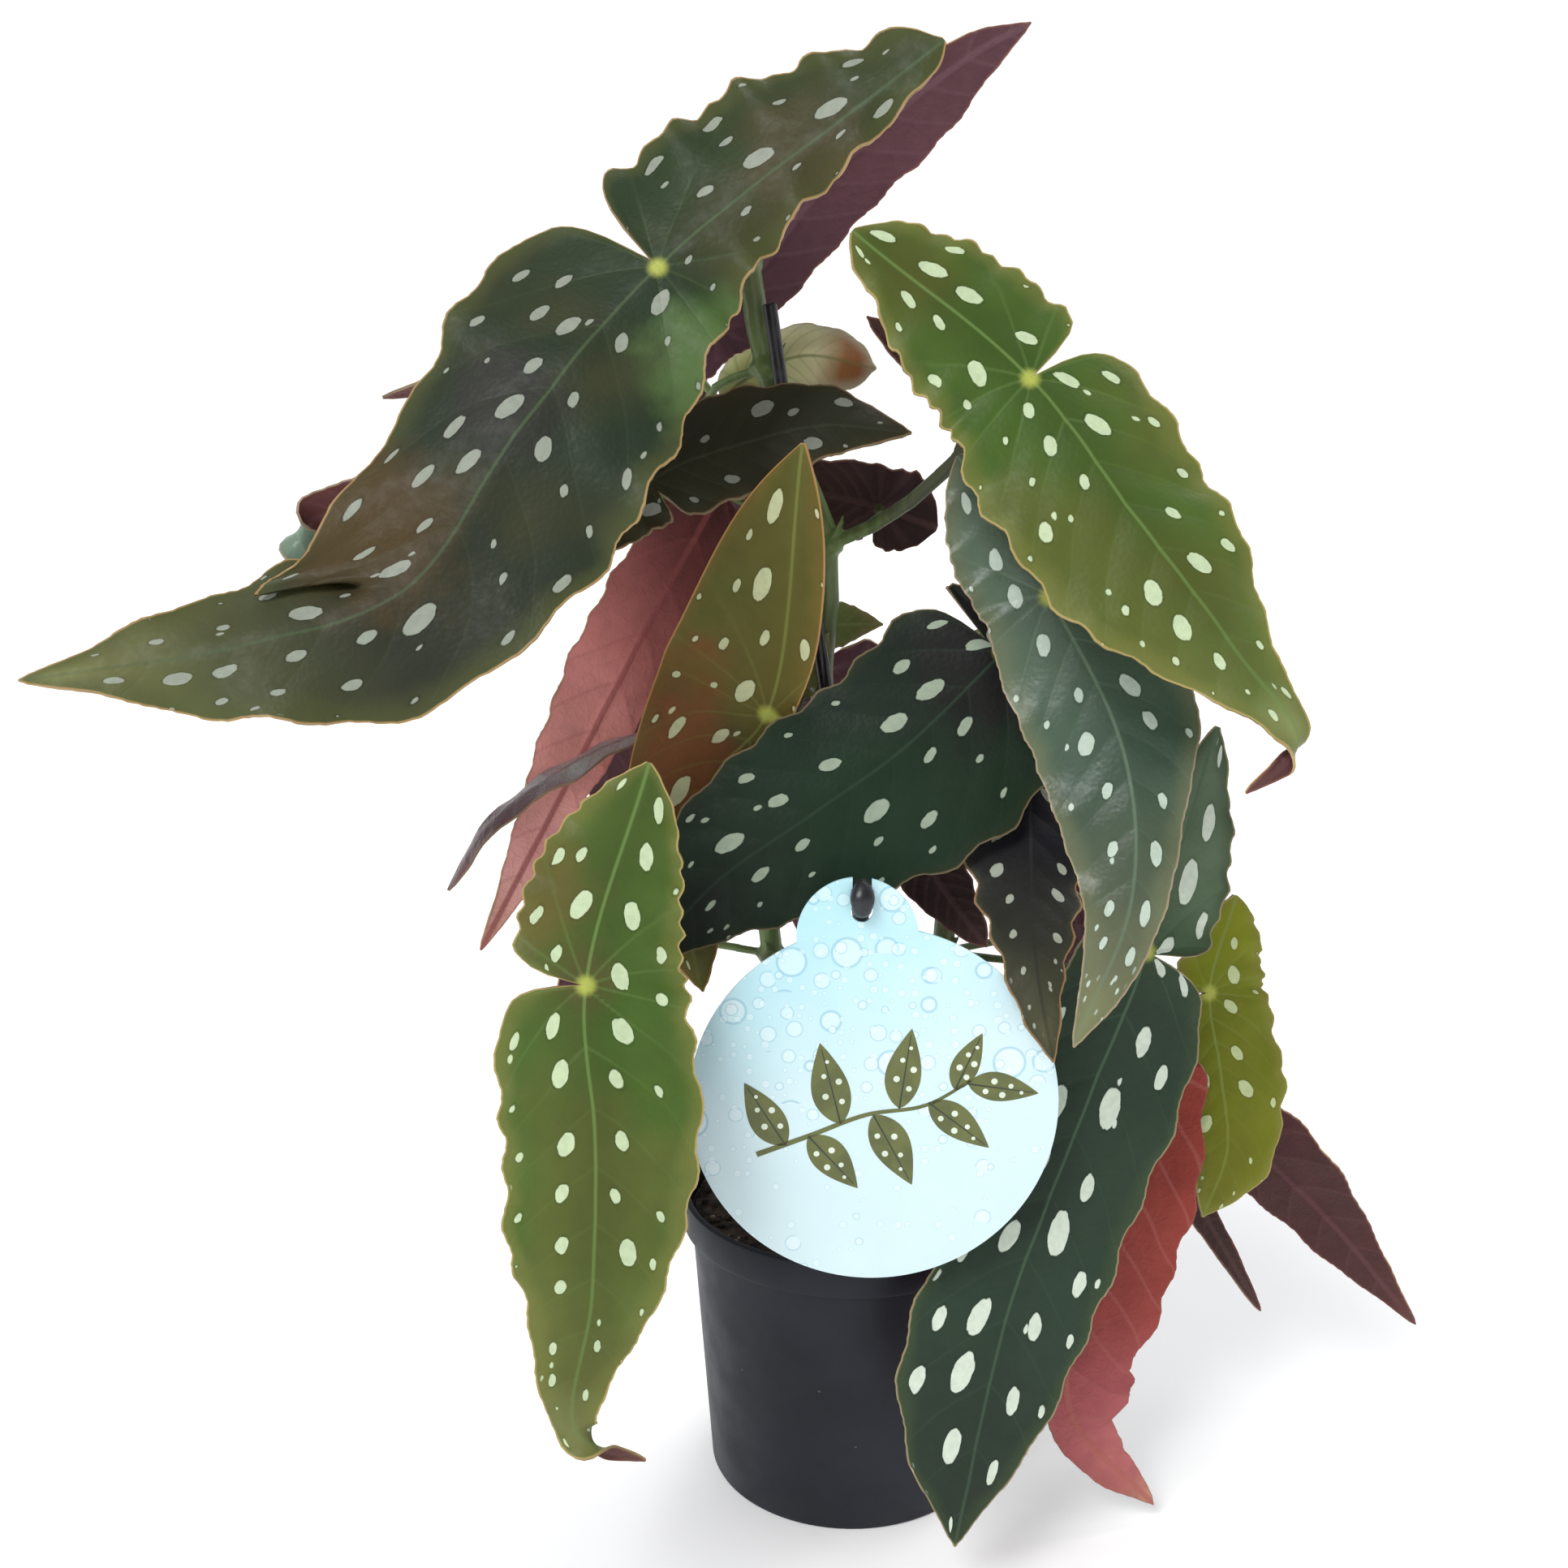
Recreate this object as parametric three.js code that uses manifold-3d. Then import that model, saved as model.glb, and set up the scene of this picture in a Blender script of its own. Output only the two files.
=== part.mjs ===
// A polka dot begonia in a black nursery pot, with a round plant tag.
// Millimetres, +Z up. The origin is the middle of the pot's base; the tag hangs on the -Y side.
import * as THREE from 'three';
import { mergeVertices } from 'three/addons/utils/BufferGeometryUtils.js';
import Module from 'manifold-3d';

// Driving dimensions.
const potHeight = 106;
const potRimRadius = 60;
const potTopRadius = 56.5;
const potBaseRadius = 50;
const potWall = 1.4;
const potBandHeight = 12;
const potFloor = 2;
const drainHoleRadius = 3.5;
const drainHoleCircle = 32;
const drainHoleCount = 6;
const soilTop = 98;
const soilCrumb = 1.1;
const clearance = 0.3;
const caneRadius = 4;
const petioleRadius = 1.7;
const supportRadius = 2.2;
const leafThickness = 0.8;
const midribThickness = 1.7;
const tagRadius = 57;
const tagThickness = 0.9;
const tagHoleRadius = 3.3;
const hookRadius = 2.4;

const leafGreen = 0x3d5a2c;
const darkGreen = 0x1f3a26;
const limeGreen = 0x6f8b2e;
const oliveBrown = 0x4a3f22;
const maroon = 0x4a1c26;
const rosePink = 0xa8525a;
const stemGreen = 0x5c7a34;
const rustCream = 0xb3a56a;

const begonia = new THREE.Group();

const wasm = await Module();
wasm.setup();

function addPart(name, geometry, color, roughness) {
  const material = new THREE.MeshStandardMaterial({ color, roughness, metalness: 0 });
  const mesh = new THREE.Mesh(geometry, material);
  mesh.name = name;
  begonia.add(mesh);
}

// Booleans work on solids whose shared vertices are merged.
function toSolid(geometry) {
  const bare = geometry.clone();
  bare.deleteAttribute('normal');
  bare.deleteAttribute('uv');
  const merged = mergeVertices(bare, 1e-4);
  const vertProperties = Float32Array.from(merged.attributes.position.array);
  const triVerts = Uint32Array.from(merged.index.array);
  return new wasm.Manifold(new wasm.Mesh({ numProp: 3, vertProperties, triVerts }));
}

function toGeometry(solid) {
  const mesh = solid.getMesh();
  const geometry = new THREE.BufferGeometry();
  geometry.setAttribute('position', new THREE.BufferAttribute(Float32Array.from(mesh.vertProperties), 3));
  geometry.setIndex(new THREE.BufferAttribute(Uint32Array.from(mesh.triVerts), 1));
  geometry.computeVertexNormals();
  return geometry;
}

function joinAll(geometries) {
  return geometries.map(toSolid).reduce((whole, piece) => whole.add(piece));
}

function uprightLathe(profile, segments) {
  const points = profile.map(([radius, height]) => new THREE.Vector2(radius, height));
  const geometry = new THREE.LatheGeometry(points, segments);
  geometry.rotateX(Math.PI / 2);
  return geometry;
}

function uprightCylinder(radius, bottom, top, x, y, segments) {
  const geometry = new THREE.CylinderGeometry(radius, radius, top - bottom, segments);
  geometry.rotateX(Math.PI / 2);
  geometry.translate(x, y, (bottom + top) / 2);
  return geometry;
}

function smoothCurve(points) {
  return new THREE.CatmullRomCurve3(points.map((p) => new THREE.Vector3(...p)), false, 'centripetal');
}

function tubeAlong(points, radius, steps, sides) {
  const section = new THREE.Shape();
  for (let i = 0; i < sides; i += 1) {
    const angle = (2 * Math.PI * i) / sides;
    const x = radius * Math.cos(angle);
    const y = radius * Math.sin(angle);
    if (i === 0) {
      section.moveTo(x, y);
    } else {
      section.lineTo(x, y);
    }
  }
  const extrudePath = smoothCurve(points);
  return new THREE.ExtrudeGeometry(section, { steps, bevelEnabled: false, extrudePath, curveSegments: 1 });
}

// Pot: tapered wall, banded rim, flat floor with drain holes round its middle.
const potEdge = 1.2;
const potRimThickness = 2.2;

function makePot() {
  const bandBottom = potHeight - potBandHeight;
  const outline = [
    [0, 0],
    [potBaseRadius - potEdge, 0],
    [potBaseRadius, potEdge],
    [potTopRadius, bandBottom],
    [potRimRadius - potEdge, bandBottom],
    [potRimRadius, bandBottom + potEdge],
    [potRimRadius, potHeight - potEdge],
    [potRimRadius - potEdge, potHeight],
    [potRimRadius - potRimThickness, potHeight],
    [potRimRadius - potRimThickness - 0.6, bandBottom + potWall],
    [potTopRadius - potWall, bandBottom],
    [potBaseRadius - potWall, potFloor],
    [0, potFloor],
  ];
  let pot = toSolid(uprightLathe(outline, 44));
  for (let i = 0; i < drainHoleCount; i += 1) {
    const angle = (2 * Math.PI * i) / drainHoleCount;
    const x = drainHoleCircle * Math.cos(angle);
    const y = drainHoleCircle * Math.sin(angle);
    pot = pot.subtract(toSolid(uprightCylinder(drainHoleRadius, -1, potFloor + 1, x, y, 8)));
  }
  return toGeometry(pot);
}

// Things that stand in the soil: place on the soil and radius.
const plugs = {
  mainCane: { x: -2, y: 6, radius: caneRadius },
  leftCane: { x: -20, y: 14, radius: caneRadius },
  rightCane: { x: 27, y: 14, radius: caneRadius },
  support: { x: 23, y: -12, radius: supportRadius, top: [-28, -12, 410] },
  tagStake: { x: 1, y: -47, radius: hookRadius },
};
const plugDepth = 30;
const holeSlack = 0.6;

// Soil: a filled body whose top is uneven, with a plain hole for each thing that stands in it.
function soilHeight(x, y) {
  const coarse = Math.sin(x * 0.21 + 1) * Math.cos(y * 0.17 - 0.5);
  const fine = Math.sin(x * 0.63 + y * 0.4) * Math.cos(y * 0.71 - x * 0.2);
  return soilTop + soilCrumb * (coarse + 0.8 * fine);
}

function makeSoil() {
  const topRadius = potTopRadius - potWall - clearance;
  const bottomRadius = potBaseRadius - potWall - clearance;
  const wallTop = potHeight - potBandHeight;
  const rings = [0, 12, 24, 36, 46, topRadius - 0.6];
  const profile = [
    [0, potFloor + clearance],
    [bottomRadius - 0.2, potFloor + clearance],
    [topRadius - 0.2, wallTop - 1],
    [topRadius - 0.2, soilTop - 1.8],
  ];
  rings.reverse().forEach((radius) => profile.push([radius, soilTop]));
  const geometry = uprightLathe(profile, 30);
  const position = geometry.attributes.position;
  for (let i = 0; i < position.count; i += 1) {
    if (Math.abs(position.getZ(i) - soilTop) < 1e-3) {
      position.setZ(i, soilHeight(position.getX(i), position.getY(i)));
    }
  }
  let soil = toSolid(geometry);
  Object.values(plugs).forEach(({ x, y, radius, top = [x, y, soilTop + 10] }) => {
    const hole = tubeAlong([[x, y, soilTop - plugDepth], top], radius + holeSlack, 1, 10);
    soil = soil.subtract(toSolid(hole));
  });
  return toGeometry(soil);
}

// A leaf is lofted along its midrib, from the end of the back lobe through the heart, where the
// stalk joins, to the tip. Its two half-widths are read at fixed stations: the lobe's end is -1,
// the heart is 0 and the tip is 1. The narrow half has a notch that closes in on the heart.
const stations = [-1, -0.75, -0.45, -0.15, 0, 0.12, 0.3, 0.5, 0.7, 0.87, 1];
const plainWide = [0.108, 0.17, 0.2, 0.22, 0.235, 0.24, 0.23, 0.155, 0.07];
const plainNarrow = [0.095, 0.15, 0.16, 0.165, 0.17, 0.18, 0.17, 0.125, 0.06];
const endWidth = 0.7;
const notchFloor = 1.2;
const lobeNotch = 0.04;
const bladeNotch = 0.02;
const largeRows = [
  -1, -0.9, -0.72, -0.5, -0.28, -0.08, 0, 0.03,
  0.1, 0.2, 0.3, 0.4, 0.5, 0.6, 0.7, 0.79, 0.86, 0.92, 0.97, 1,
];
const smallRows = [-1, -0.7, -0.35, -0.1, 0, 0.06, 0.22, 0.38, 0.54, 0.7, 0.86, 1];

const leaves = [
  {
    name: 'leaf_upper_left', color: darkGreen, large: true, wing: 1, face: [-0.15, -1, 0.5],
    spine: [
      [22, -45, 481], [-60, -50, 419], [-98, -75, 374], [-129, -90, 331], [-171, -98, 317], [-235, -100, 307],
    ],
    wide: [9, 14, 22, 28, 35, 42, 35, 24, 10],
    narrow: [20, 33, 37, 46, 44, 37, 33, 25, 11],
    fold: 9, ripple: 3.2, waves: 4.5, start: 0.6, bluntEnd: 3,
  },
  {
    name: 'leaf_top_back', color: maroon, wing: 1, face: [0.2, 1, 0.5],
    spine: [[-56, 7, 387], [-45, 9, 403], [-3, 7, 455], [34, 2, 484], [52, -2, 493]],
    wide: [7, 8, 10, 12, 13, 15, 16, 15, 8],
    narrow: [8, 10, 11, 12, 13, 14, 13, 10, 6],
    fold: 6, ripple: 1.2, waves: 3, start: 0,
  },
  {
    name: 'leaf_right', color: leafGreen, large: true, wing: -1, face: [0.2, -1, 0.4],
    spine: [
      [-4, -52, 429], [47, -62, 388], [75, -85, 350], [100, -102, 316], [116, -112, 292], [104, -108, 277],
    ],
    wide: [12, 23, 27, 29, 34, 34, 30, 14, 5],
    narrow: [17, 24, 26, 30, 29, 28, 24, 10, 4],
    fold: 9, ripple: 1.6, waves: 4, start: 1, twist: -175, bluntEnd: 2.6,
  },
  {
    name: 'leaf_grey_right', color: darkGreen, large: true, wing: -1, face: [-0.15, -1, 0.4],
    spine: [[29, -40, 365], [56, -52, 324], [77, -72, 280], [78, -88, 240], [61, -98, 198]],
    wide: [13, 20, 21, 21, 25, 26, 23, 14, 6],
    narrow: [10, 14, 16, 17, 22, 26, 15, 10, 7],
    fold: 8, ripple: 1.8, waves: 4, start: 2, approach: 6,
  },
  {
    name: 'leaf_lower_left', color: leafGreen, large: true, wing: 1, face: [-0.05, -1, 0.3],
    spine: [
      [-62, -88, 281], [-81, -98, 217], [-78, -110, 175], [-80, -112, 125], [-86, -108, 77], [-66, -104, 65],
    ],
    wide: [14, 22, 27, 30, 31, 30, 23, 12, 6],
    narrow: [15, 23, 24, 26, 28, 28, 26, 15, 6],
    fold: 9, ripple: 1.8, waves: 4, start: 0.4, twist: 175,
  },
  {
    name: 'leaf_lower_right', color: darkGreen, large: true, wing: -1, face: [0.15, -1, 0.2],
    spine: [[115, -28, 279], [92, -48, 210], [70, -58, 153], [48, -72, 96], [31, -90, 24]],
    wide: [7, 9, 14, 20, 26, 25, 26, 30, 21],
    narrow: [11, 19, 21, 24, 30, 32, 31, 28, 15],
    fold: 7, ripple: 1.6, waves: 3.5, start: 0.2,
  },
  {
    name: 'leaf_lime_right', color: limeGreen, wing: 1, face: [0.3, -1, 0.3],
    spine: [[131, -4, 215], [123, -8, 181], [127, -14, 154], [129, -20, 128], [121, -24, 105]],
    wide: [12, 18, 22, 23, 25, 25, 25, 20, 12],
    narrow: [7, 11, 13, 14, 16, 16, 15, 12, 7],
    fold: 7, ripple: 1.2, waves: 3, start: 0,
  },
  {
    name: 'leaf_rose_right', color: rosePink, large: true, wing: -1, face: [-0.1, 1, 0.1],
    spine: [[98, -22, 186], [95, -24, 163], [86, -30, 121], [77, -36, 82], [75, -42, 41], [105, -44, 6]],
    wide: [8, 13, 20, 25, 29, 32, 29, 25, 12],
    narrow: [8, 10, 9, 9, 10, 11, 10, 9, 8],
    fold: 5, ripple: 1.6, waves: 6, start: 0,
  },
  {
    name: 'leaf_maroon_right', color: maroon, wing: -1, face: [0.2, 1, 0.2],
    spine: [[88, 10, 176], [100, 12, 158], [130, 16, 128], [154, 18, 107], [184, 22, 76], [219, 28, 33]],
    wide: [10, 13, 15, 17, 19, 20, 19, 11, 5],
    narrow: [8, 11, 12, 13, 14, 15, 15, 12, 6],
    fold: 6, ripple: 1, waves: 3, start: 1,
  },
  {
    name: 'leaf_dark_sliver', color: maroon, wing: 1, face: [-0.5, 1, 0.2],
    spine: [[100, 4, 150], [107, 4, 134], [124, 4, 100], [152, 5, 52]],
    wide: [5, 6, 7, 7, 7, 7, 6, 4, 2.5],
    narrow: [4, 5, 5, 6, 6, 6, 5, 4, 2.5],
    fold: 14, ripple: 0.6, waves: 2, start: 0,
  },
  {
    name: 'leaf_dark_tip', color: oliveBrown, wing: -1, face: [0, -1, 0.3],
    spine: [[55, -22, 276], [56, -26, 260], [54, -50, 236], [53, -78, 212], [57, -88, 189]],
    wide: [7, 10, 12, 14, 20, 20, 15, 10, 6],
    narrow: [7, 9, 10, 11, 14, 16, 14, 9, 5],
    fold: 8, ripple: 1.2, waves: 3, start: 2.4,
  },
  {
    name: 'leaf_middle', color: darkGreen, large: true, wing: 1, face: [0, -1, 0.3],
    spine: [
      [58, -30, 316], [45, -34, 304], [14, -42, 275], [-15, -48, 255], [-45, -52, 234], [-68, -54, 208],
    ],
    wide: [7, 10, 13, 18, 38, 40, 32, 24, 13],
    narrow: [14, 22, 28, 30, 31, 30, 30, 26, 13],
    fold: 6, ripple: 1.4, waves: 3.5, start: 0.8,
  },
  {
    name: 'leaf_olive', color: limeGreen, large: true, wing: -1, face: [-0.1, -1, 0.25],
    spine: [[-18, -50, 369], [-29, -28, 283], [-46, -26, 262], [-57, -30, 228], [-50, -36, 192]],
    wide: [18, 30, 38, 40, 38, 30, 22, 15, 8],
    narrow: [9, 11, 11, 11, 13, 15, 15, 12, 8],
    fold: 6, ripple: 1.6, waves: 5, start: 0.3,
  },
  {
    name: 'leaf_rose_left', color: rosePink, large: true, wing: 1, face: [-0.2, 1, 0.3],
    spine: [[-32, 8, 366], [-44, 8, 351], [-69, 0, 307], [-98, -14, 252], [-123, -32, 205]],
    wide: [8, 11, 13, 15, 17, 20, 18, 12, 5],
    narrow: [7, 10, 12, 12, 13, 15, 12, 7, 5],
    fold: 6, ripple: 1.4, waves: 5, start: 0.9,
  },
  {
    name: 'leaf_edge_left', color: maroon, wing: 1, face: [-0.25, -0.1, 1],
    spine: [[-48, -2, 276], [-60, -4, 275], [-90, -24, 267], [-116, -44, 251], [-129, -50, 231]],
    wide: [3, 3, 4, 4, 4, 7, 8, 6, 4],
    narrow: [3, 3, 4, 4, 4, 7, 7, 5, 3],
    fold: 10, ripple: 1.4, waves: 4, start: 0,
  },
  {
    name: 'leaf_centre_back', color: oliveBrown, wing: 1, face: [0, -1, 0.7],
    spine: [[-83, -40, 334], [-64, -36, 357], [-40, -31, 367], [-13, -27, 373], [16, -24, 371]],
    wide: [9, 15, 16, 17, 18, 20, 19, 15, 8],
    narrow: [6, 11, 14, 16, 17, 17, 15, 10, 5],
    fold: 6, ripple: 1.2, waves: 3, start: 0.5,
  },
  {
    name: 'leaf_plum', color: maroon, wing: 1, face: [0.1, 1, 0.2],
    spine: [[28, 16, 338], [8, 16, 345], [-14, 17, 350], [-38, 20, 350]],
    wide: [10, 15, 15, 14, 14, 13, 11, 8, 5],
    narrow: [9, 13, 13, 13, 13, 12, 10, 8, 5],
    fold: 5, ripple: 1, waves: 2, start: 0,
  },
  {
    name: 'leaf_small_maroon', color: maroon, wing: 1, face: [-0.3, 1, 0.2],
    spine: [[40, -20, 372], [35, -20, 378], [16, -18, 394], [2, -20, 406]],
    wide: [4, 5, 5, 5, 5.5, 5.5, 5, 4, 2.5],
    narrow: [4, 5, 5, 5, 5, 5, 5, 4, 2.5],
    fold: 10, ripple: 0.5, waves: 2, start: 0, approach: 6,
  },
  {
    name: 'leaf_curled_left', color: maroon, wing: 1, face: [-0.1, 1, 0.6],
    spine: [[-98, -44, 362], [-114, -48, 359], [-141, -56, 353], [-165, -62, 345], [-152, -67, 322]],
    wide: [5, 7, 8, 9, 11, 12, 10, 7, 4],
    narrow: [5, 6, 7, 8, 10, 12, 10, 7, 4],
    fold: 12, ripple: 1, waves: 2, start: 0.5, approach: 5, twist: 170, twistFrom: 0.6, twistOver: 0.16,
  },
  {
    name: 'leaf_tip_left', color: maroon, wing: 1, face: [-0.2, 0.6, 1],
    spine: [[-75, -22, 396], [-90, -24, 394], [-116, -28, 390], [-145, -34, 382]],
    wide: [4, 6, 7, 7, 8, 8, 7, 5, 3],
    narrow: [4, 5, 6, 6, 7, 7, 6, 5, 3],
    fold: 10, ripple: 0.8, waves: 2, start: 0,
  },
  {
    name: 'leaf_behind_tag', color: maroon, wing: 1, face: [0.1, 1, 0.1],
    spine: [[6, -20, 262], [14, -20, 249], [27, -24, 227], [43, -32, 206]],
    wide: [6, 9, 10, 11, 13, 13, 11, 8, 5],
    narrow: [6, 8, 9, 10, 11, 12, 11, 8, 5],
    fold: 6, ripple: 0.8, waves: 3, start: 0,
  },
];

// Leaves on the far side share the plain outline of the kind.
const farLeafSpan = 0.98;
const farLeaves = [
  {
    name: 'leaf_far_top', wing: 1, face: [-0.3, 1, 0.6],
    spine: [[-66, 32, 424], [-62, 38, 400], [-70, 58, 366], [-84, 70, 326]],
  },
  {
    name: 'leaf_far_left', wing: -1, face: [-0.4, 1, 0.6],
    spine: [[-30, 40, 350], [-50, 48, 320], [-84, 74, 274], [-96, 88, 216]],
  },
  {
    name: 'leaf_far_right', wing: 1, face: [0.4, 1, 0.6],
    spine: [[52, 30, 348], [66, 42, 316], [90, 66, 272], [100, 84, 214]],
  },
  {
    name: 'leaf_far_middle', wing: 1, face: [0, 1, 0.5],
    spine: [[6, 42, 296], [4, 54, 270], [-8, 82, 220], [-14, 96, 160]],
  },
  {
    name: 'leaf_far_low_left', wing: -1, face: [-0.4, 1, 0.5],
    spine: [[-78, 36, 226], [-88, 46, 198], [-94, 72, 148], [-90, 84, 100]],
  },
  {
    name: 'leaf_far_low_right', wing: 1, face: [0.4, 1, 0.5],
    spine: [[72, 36, 226], [84, 46, 198], [96, 70, 148], [98, 82, 98]],
  },
];
const farLeafLook = { color: leafGreen, fold: 9, ripple: 2, waves: 3.5, start: 0.7 };
farLeaves.forEach((leaf) => Object.assign(leaf, farLeafLook));

// Young folded leaves and the papery bract at the joints of the main cane.
const youngLeaves = [
  {
    name: 'young_leaf_top', color: rustCream, wing: 1, face: [0, -1, 0.3],
    spine: [[-44, 15, 380], [-37, 15, 386], [-18, 17, 394], [7, 18, 390]],
    wide: [6, 8, 10, 11, 12, 13, 13, 12, 9],
    narrow: [5, 7, 8, 7, 9, 10, 10, 10, 8],
    fold: 24, ripple: 0.6, waves: 2, start: 0,
  },
  {
    name: 'joint_bract', color: limeGreen, wing: 1, face: [0, -1, 0.2],
    spine: [[-13, 9, 306], [-8, 10, 306], [0, 11, 306], [10, 11, 306]],
    wide: [5, 7, 8, 9, 8.5, 7.5, 6, 4, 2],
    narrow: [5, 7, 8, 8, 8, 7, 5, 3, 1.5],
    fold: 12, ripple: 0.4, waves: 2, start: 0,
  },
  {
    name: 'young_leaf_middle', color: limeGreen, wing: 1, face: [0, -1, 0.2],
    spine: [[-18, -7, 284], [-17, -7, 288], [-14, -7, 294], [-9, -8, 306]],
    wide: [3, 4, 4.5, 5, 5, 5, 4.5, 3, 1.5],
    narrow: [3, 4, 4, 3, 4.5, 4.5, 4, 3, 1.5],
    fold: 14, ripple: 0.4, waves: 2, start: 0,
  },
];

// Reads a half-width between the stations with a smooth cubic. A blunter lobe opens out faster.
const plainEnd = 1.6;

function readWidth(widths, s, bluntEnd = plainEnd) {
  const last = stations.length - 1;
  let i = 0;
  while (i < last - 1 && s > stations[i + 1]) {
    i += 1;
  }
  const slope = (k) => {
    if (k === 0) {
      return (bluntEnd * (widths[1] - widths[0])) / (stations[1] - stations[0]);
    }
    if (k === last) {
      return (widths[last] - widths[last - 1]) / (stations[last] - stations[last - 1]);
    }
    return (widths[k + 1] - widths[k - 1]) / (stations[k + 1] - stations[k - 1]);
  };
  const h = stations[i + 1] - stations[i];
  const t = (s - stations[i]) / h;
  const a = (2 * t ** 3 - 3 * t ** 2 + 1) * widths[i];
  const b = (t ** 3 - 2 * t ** 2 + t) * h * slope(i);
  const c = (3 * t ** 2 - 2 * t ** 3) * widths[i + 1];
  const d = (t ** 3 - t ** 2) * h * slope(i + 1);
  return Math.max(a + b + c + d, endWidth);
}

function narrowWidth(widths, s, bluntEnd) {
  const reach = s < 0 ? lobeNotch : bladeNotch;
  const open = 1 - Math.exp(-Math.abs(s) / reach);
  return Math.max(readWidth(widths, s, bluntEnd) * open, Math.min(notchFloor, widths[1]));
}

// Midrib frames: points along the curve with a tangent and an upper-side normal carried along it.
const stepsPerSpan = 24;

function midribFrames({ spine, face }) {
  const curve = smoothCurve(spine);
  const count = stepsPerSpan * (spine.length - 1) + 1;
  const points = [];
  for (let i = 0; i < count; i += 1) {
    points.push(curve.getPoint(i / (count - 1)));
  }
  const arc = [0];
  for (let i = 1; i < count; i += 1) {
    arc.push(arc[i - 1] + points[i].distanceTo(points[i - 1]));
  }
  const tangents = points.map((point, i) => {
    const before = points[Math.max(i - 1, 0)];
    const after = points[Math.min(i + 1, count - 1)];
    return after.clone().sub(before).normalize();
  });
  const normals = new Array(count);
  const square = (vector, tangent) => {
    const along = vector.dot(tangent);
    return vector.clone().addScaledVector(tangent, -along).normalize();
  };
  normals[stepsPerSpan] = square(new THREE.Vector3(...face), tangents[stepsPerSpan]);
  for (let i = stepsPerSpan + 1; i < count; i += 1) {
    normals[i] = square(normals[i - 1], tangents[i]);
  }
  for (let i = stepsPerSpan - 1; i >= 0; i -= 1) {
    normals[i] = square(normals[i + 1], tangents[i]);
  }
  return { points, arc, tangents, normals, heartArc: arc[stepsPerSpan], fullArc: arc[count - 1] };
}

function frameAt(frames, s) {
  const { points, arc, tangents, normals, heartArc, fullArc } = frames;
  const along = s < 0 ? heartArc * (1 + s) : heartArc + s * (fullArc - heartArc);
  let i = 0;
  while (i < arc.length - 2 && along > arc[i + 1]) {
    i += 1;
  }
  const share = (along - arc[i]) / (arc[i + 1] - arc[i]);
  const point = points[i].clone().lerp(points[i + 1], share);
  const tangent = tangents[i].clone().lerp(tangents[i + 1], share).normalize();
  const normal = normals[i].clone().lerp(normals[i + 1], share);
  normal.addScaledVector(tangent, -normal.dot(tangent)).normalize();
  return { point, tangent, normal };
}

// The twist of a curled tip comes on over the last stretch of the blade. The margin is scalloped in
// its plane and rippled across it, less so where the blade is narrow.
const twistStart = 0.84;
const twistLength = 0.1;
const scallopDepth = 0.035;
const scallopsPerWave = 2.3;
const narrowSidePhase = 2.1;
const fullRippleWidth = 14;

function tipTwist({ twist = 0, twistFrom = twistStart, twistOver = twistLength }, s) {
  const x = Math.min(Math.max((s - twistFrom) / twistOver, 0), 1);
  return THREE.MathUtils.degToRad(twist) * x * x * (3 - 2 * x);
}

// One point of the blade's middle surface: across runs from -1 (narrow edge) to 1 (wide edge).
function bladePoint(leaf, frames, s, across) {
  const { point, tangent, normal } = frameAt(frames, s);
  const side = normal.clone().cross(tangent).multiplyScalar(leaf.wing);
  const turn = tipTwist(leaf, s);
  const up = normal.clone().multiplyScalar(Math.cos(turn)).addScaledVector(side, Math.sin(turn));
  const out = side.clone().multiplyScalar(Math.cos(turn)).addScaledVector(normal, -Math.sin(turn));
  const widthAt = across > 0 ? readWidth : narrowWidth;
  const half = widthAt(across > 0 ? leaf.wideFull : leaf.narrowFull, s, leaf.bluntEnd);
  const distance = Math.abs(across) * half;
  const fold = THREE.MathUtils.degToRad(leaf.fold);
  const phase = leaf.start + (across > 0 ? 0 : narrowSidePhase);
  const turns = 2 * Math.PI * leaf.waves * s;
  const calm = Math.min(1, half / fullRippleWidth);
  const wave = leaf.ripple * calm * across * across * Math.sin(turns + phase);
  const scallop = 1 + scallopDepth * across * across * Math.sin(scallopsPerWave * turns + 3 * phase);
  point.addScaledVector(out, Math.sign(across) * distance * Math.cos(fold) * scallop);
  point.addScaledVector(up, wave - distance * Math.sin(fold));
  return point;
}

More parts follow.
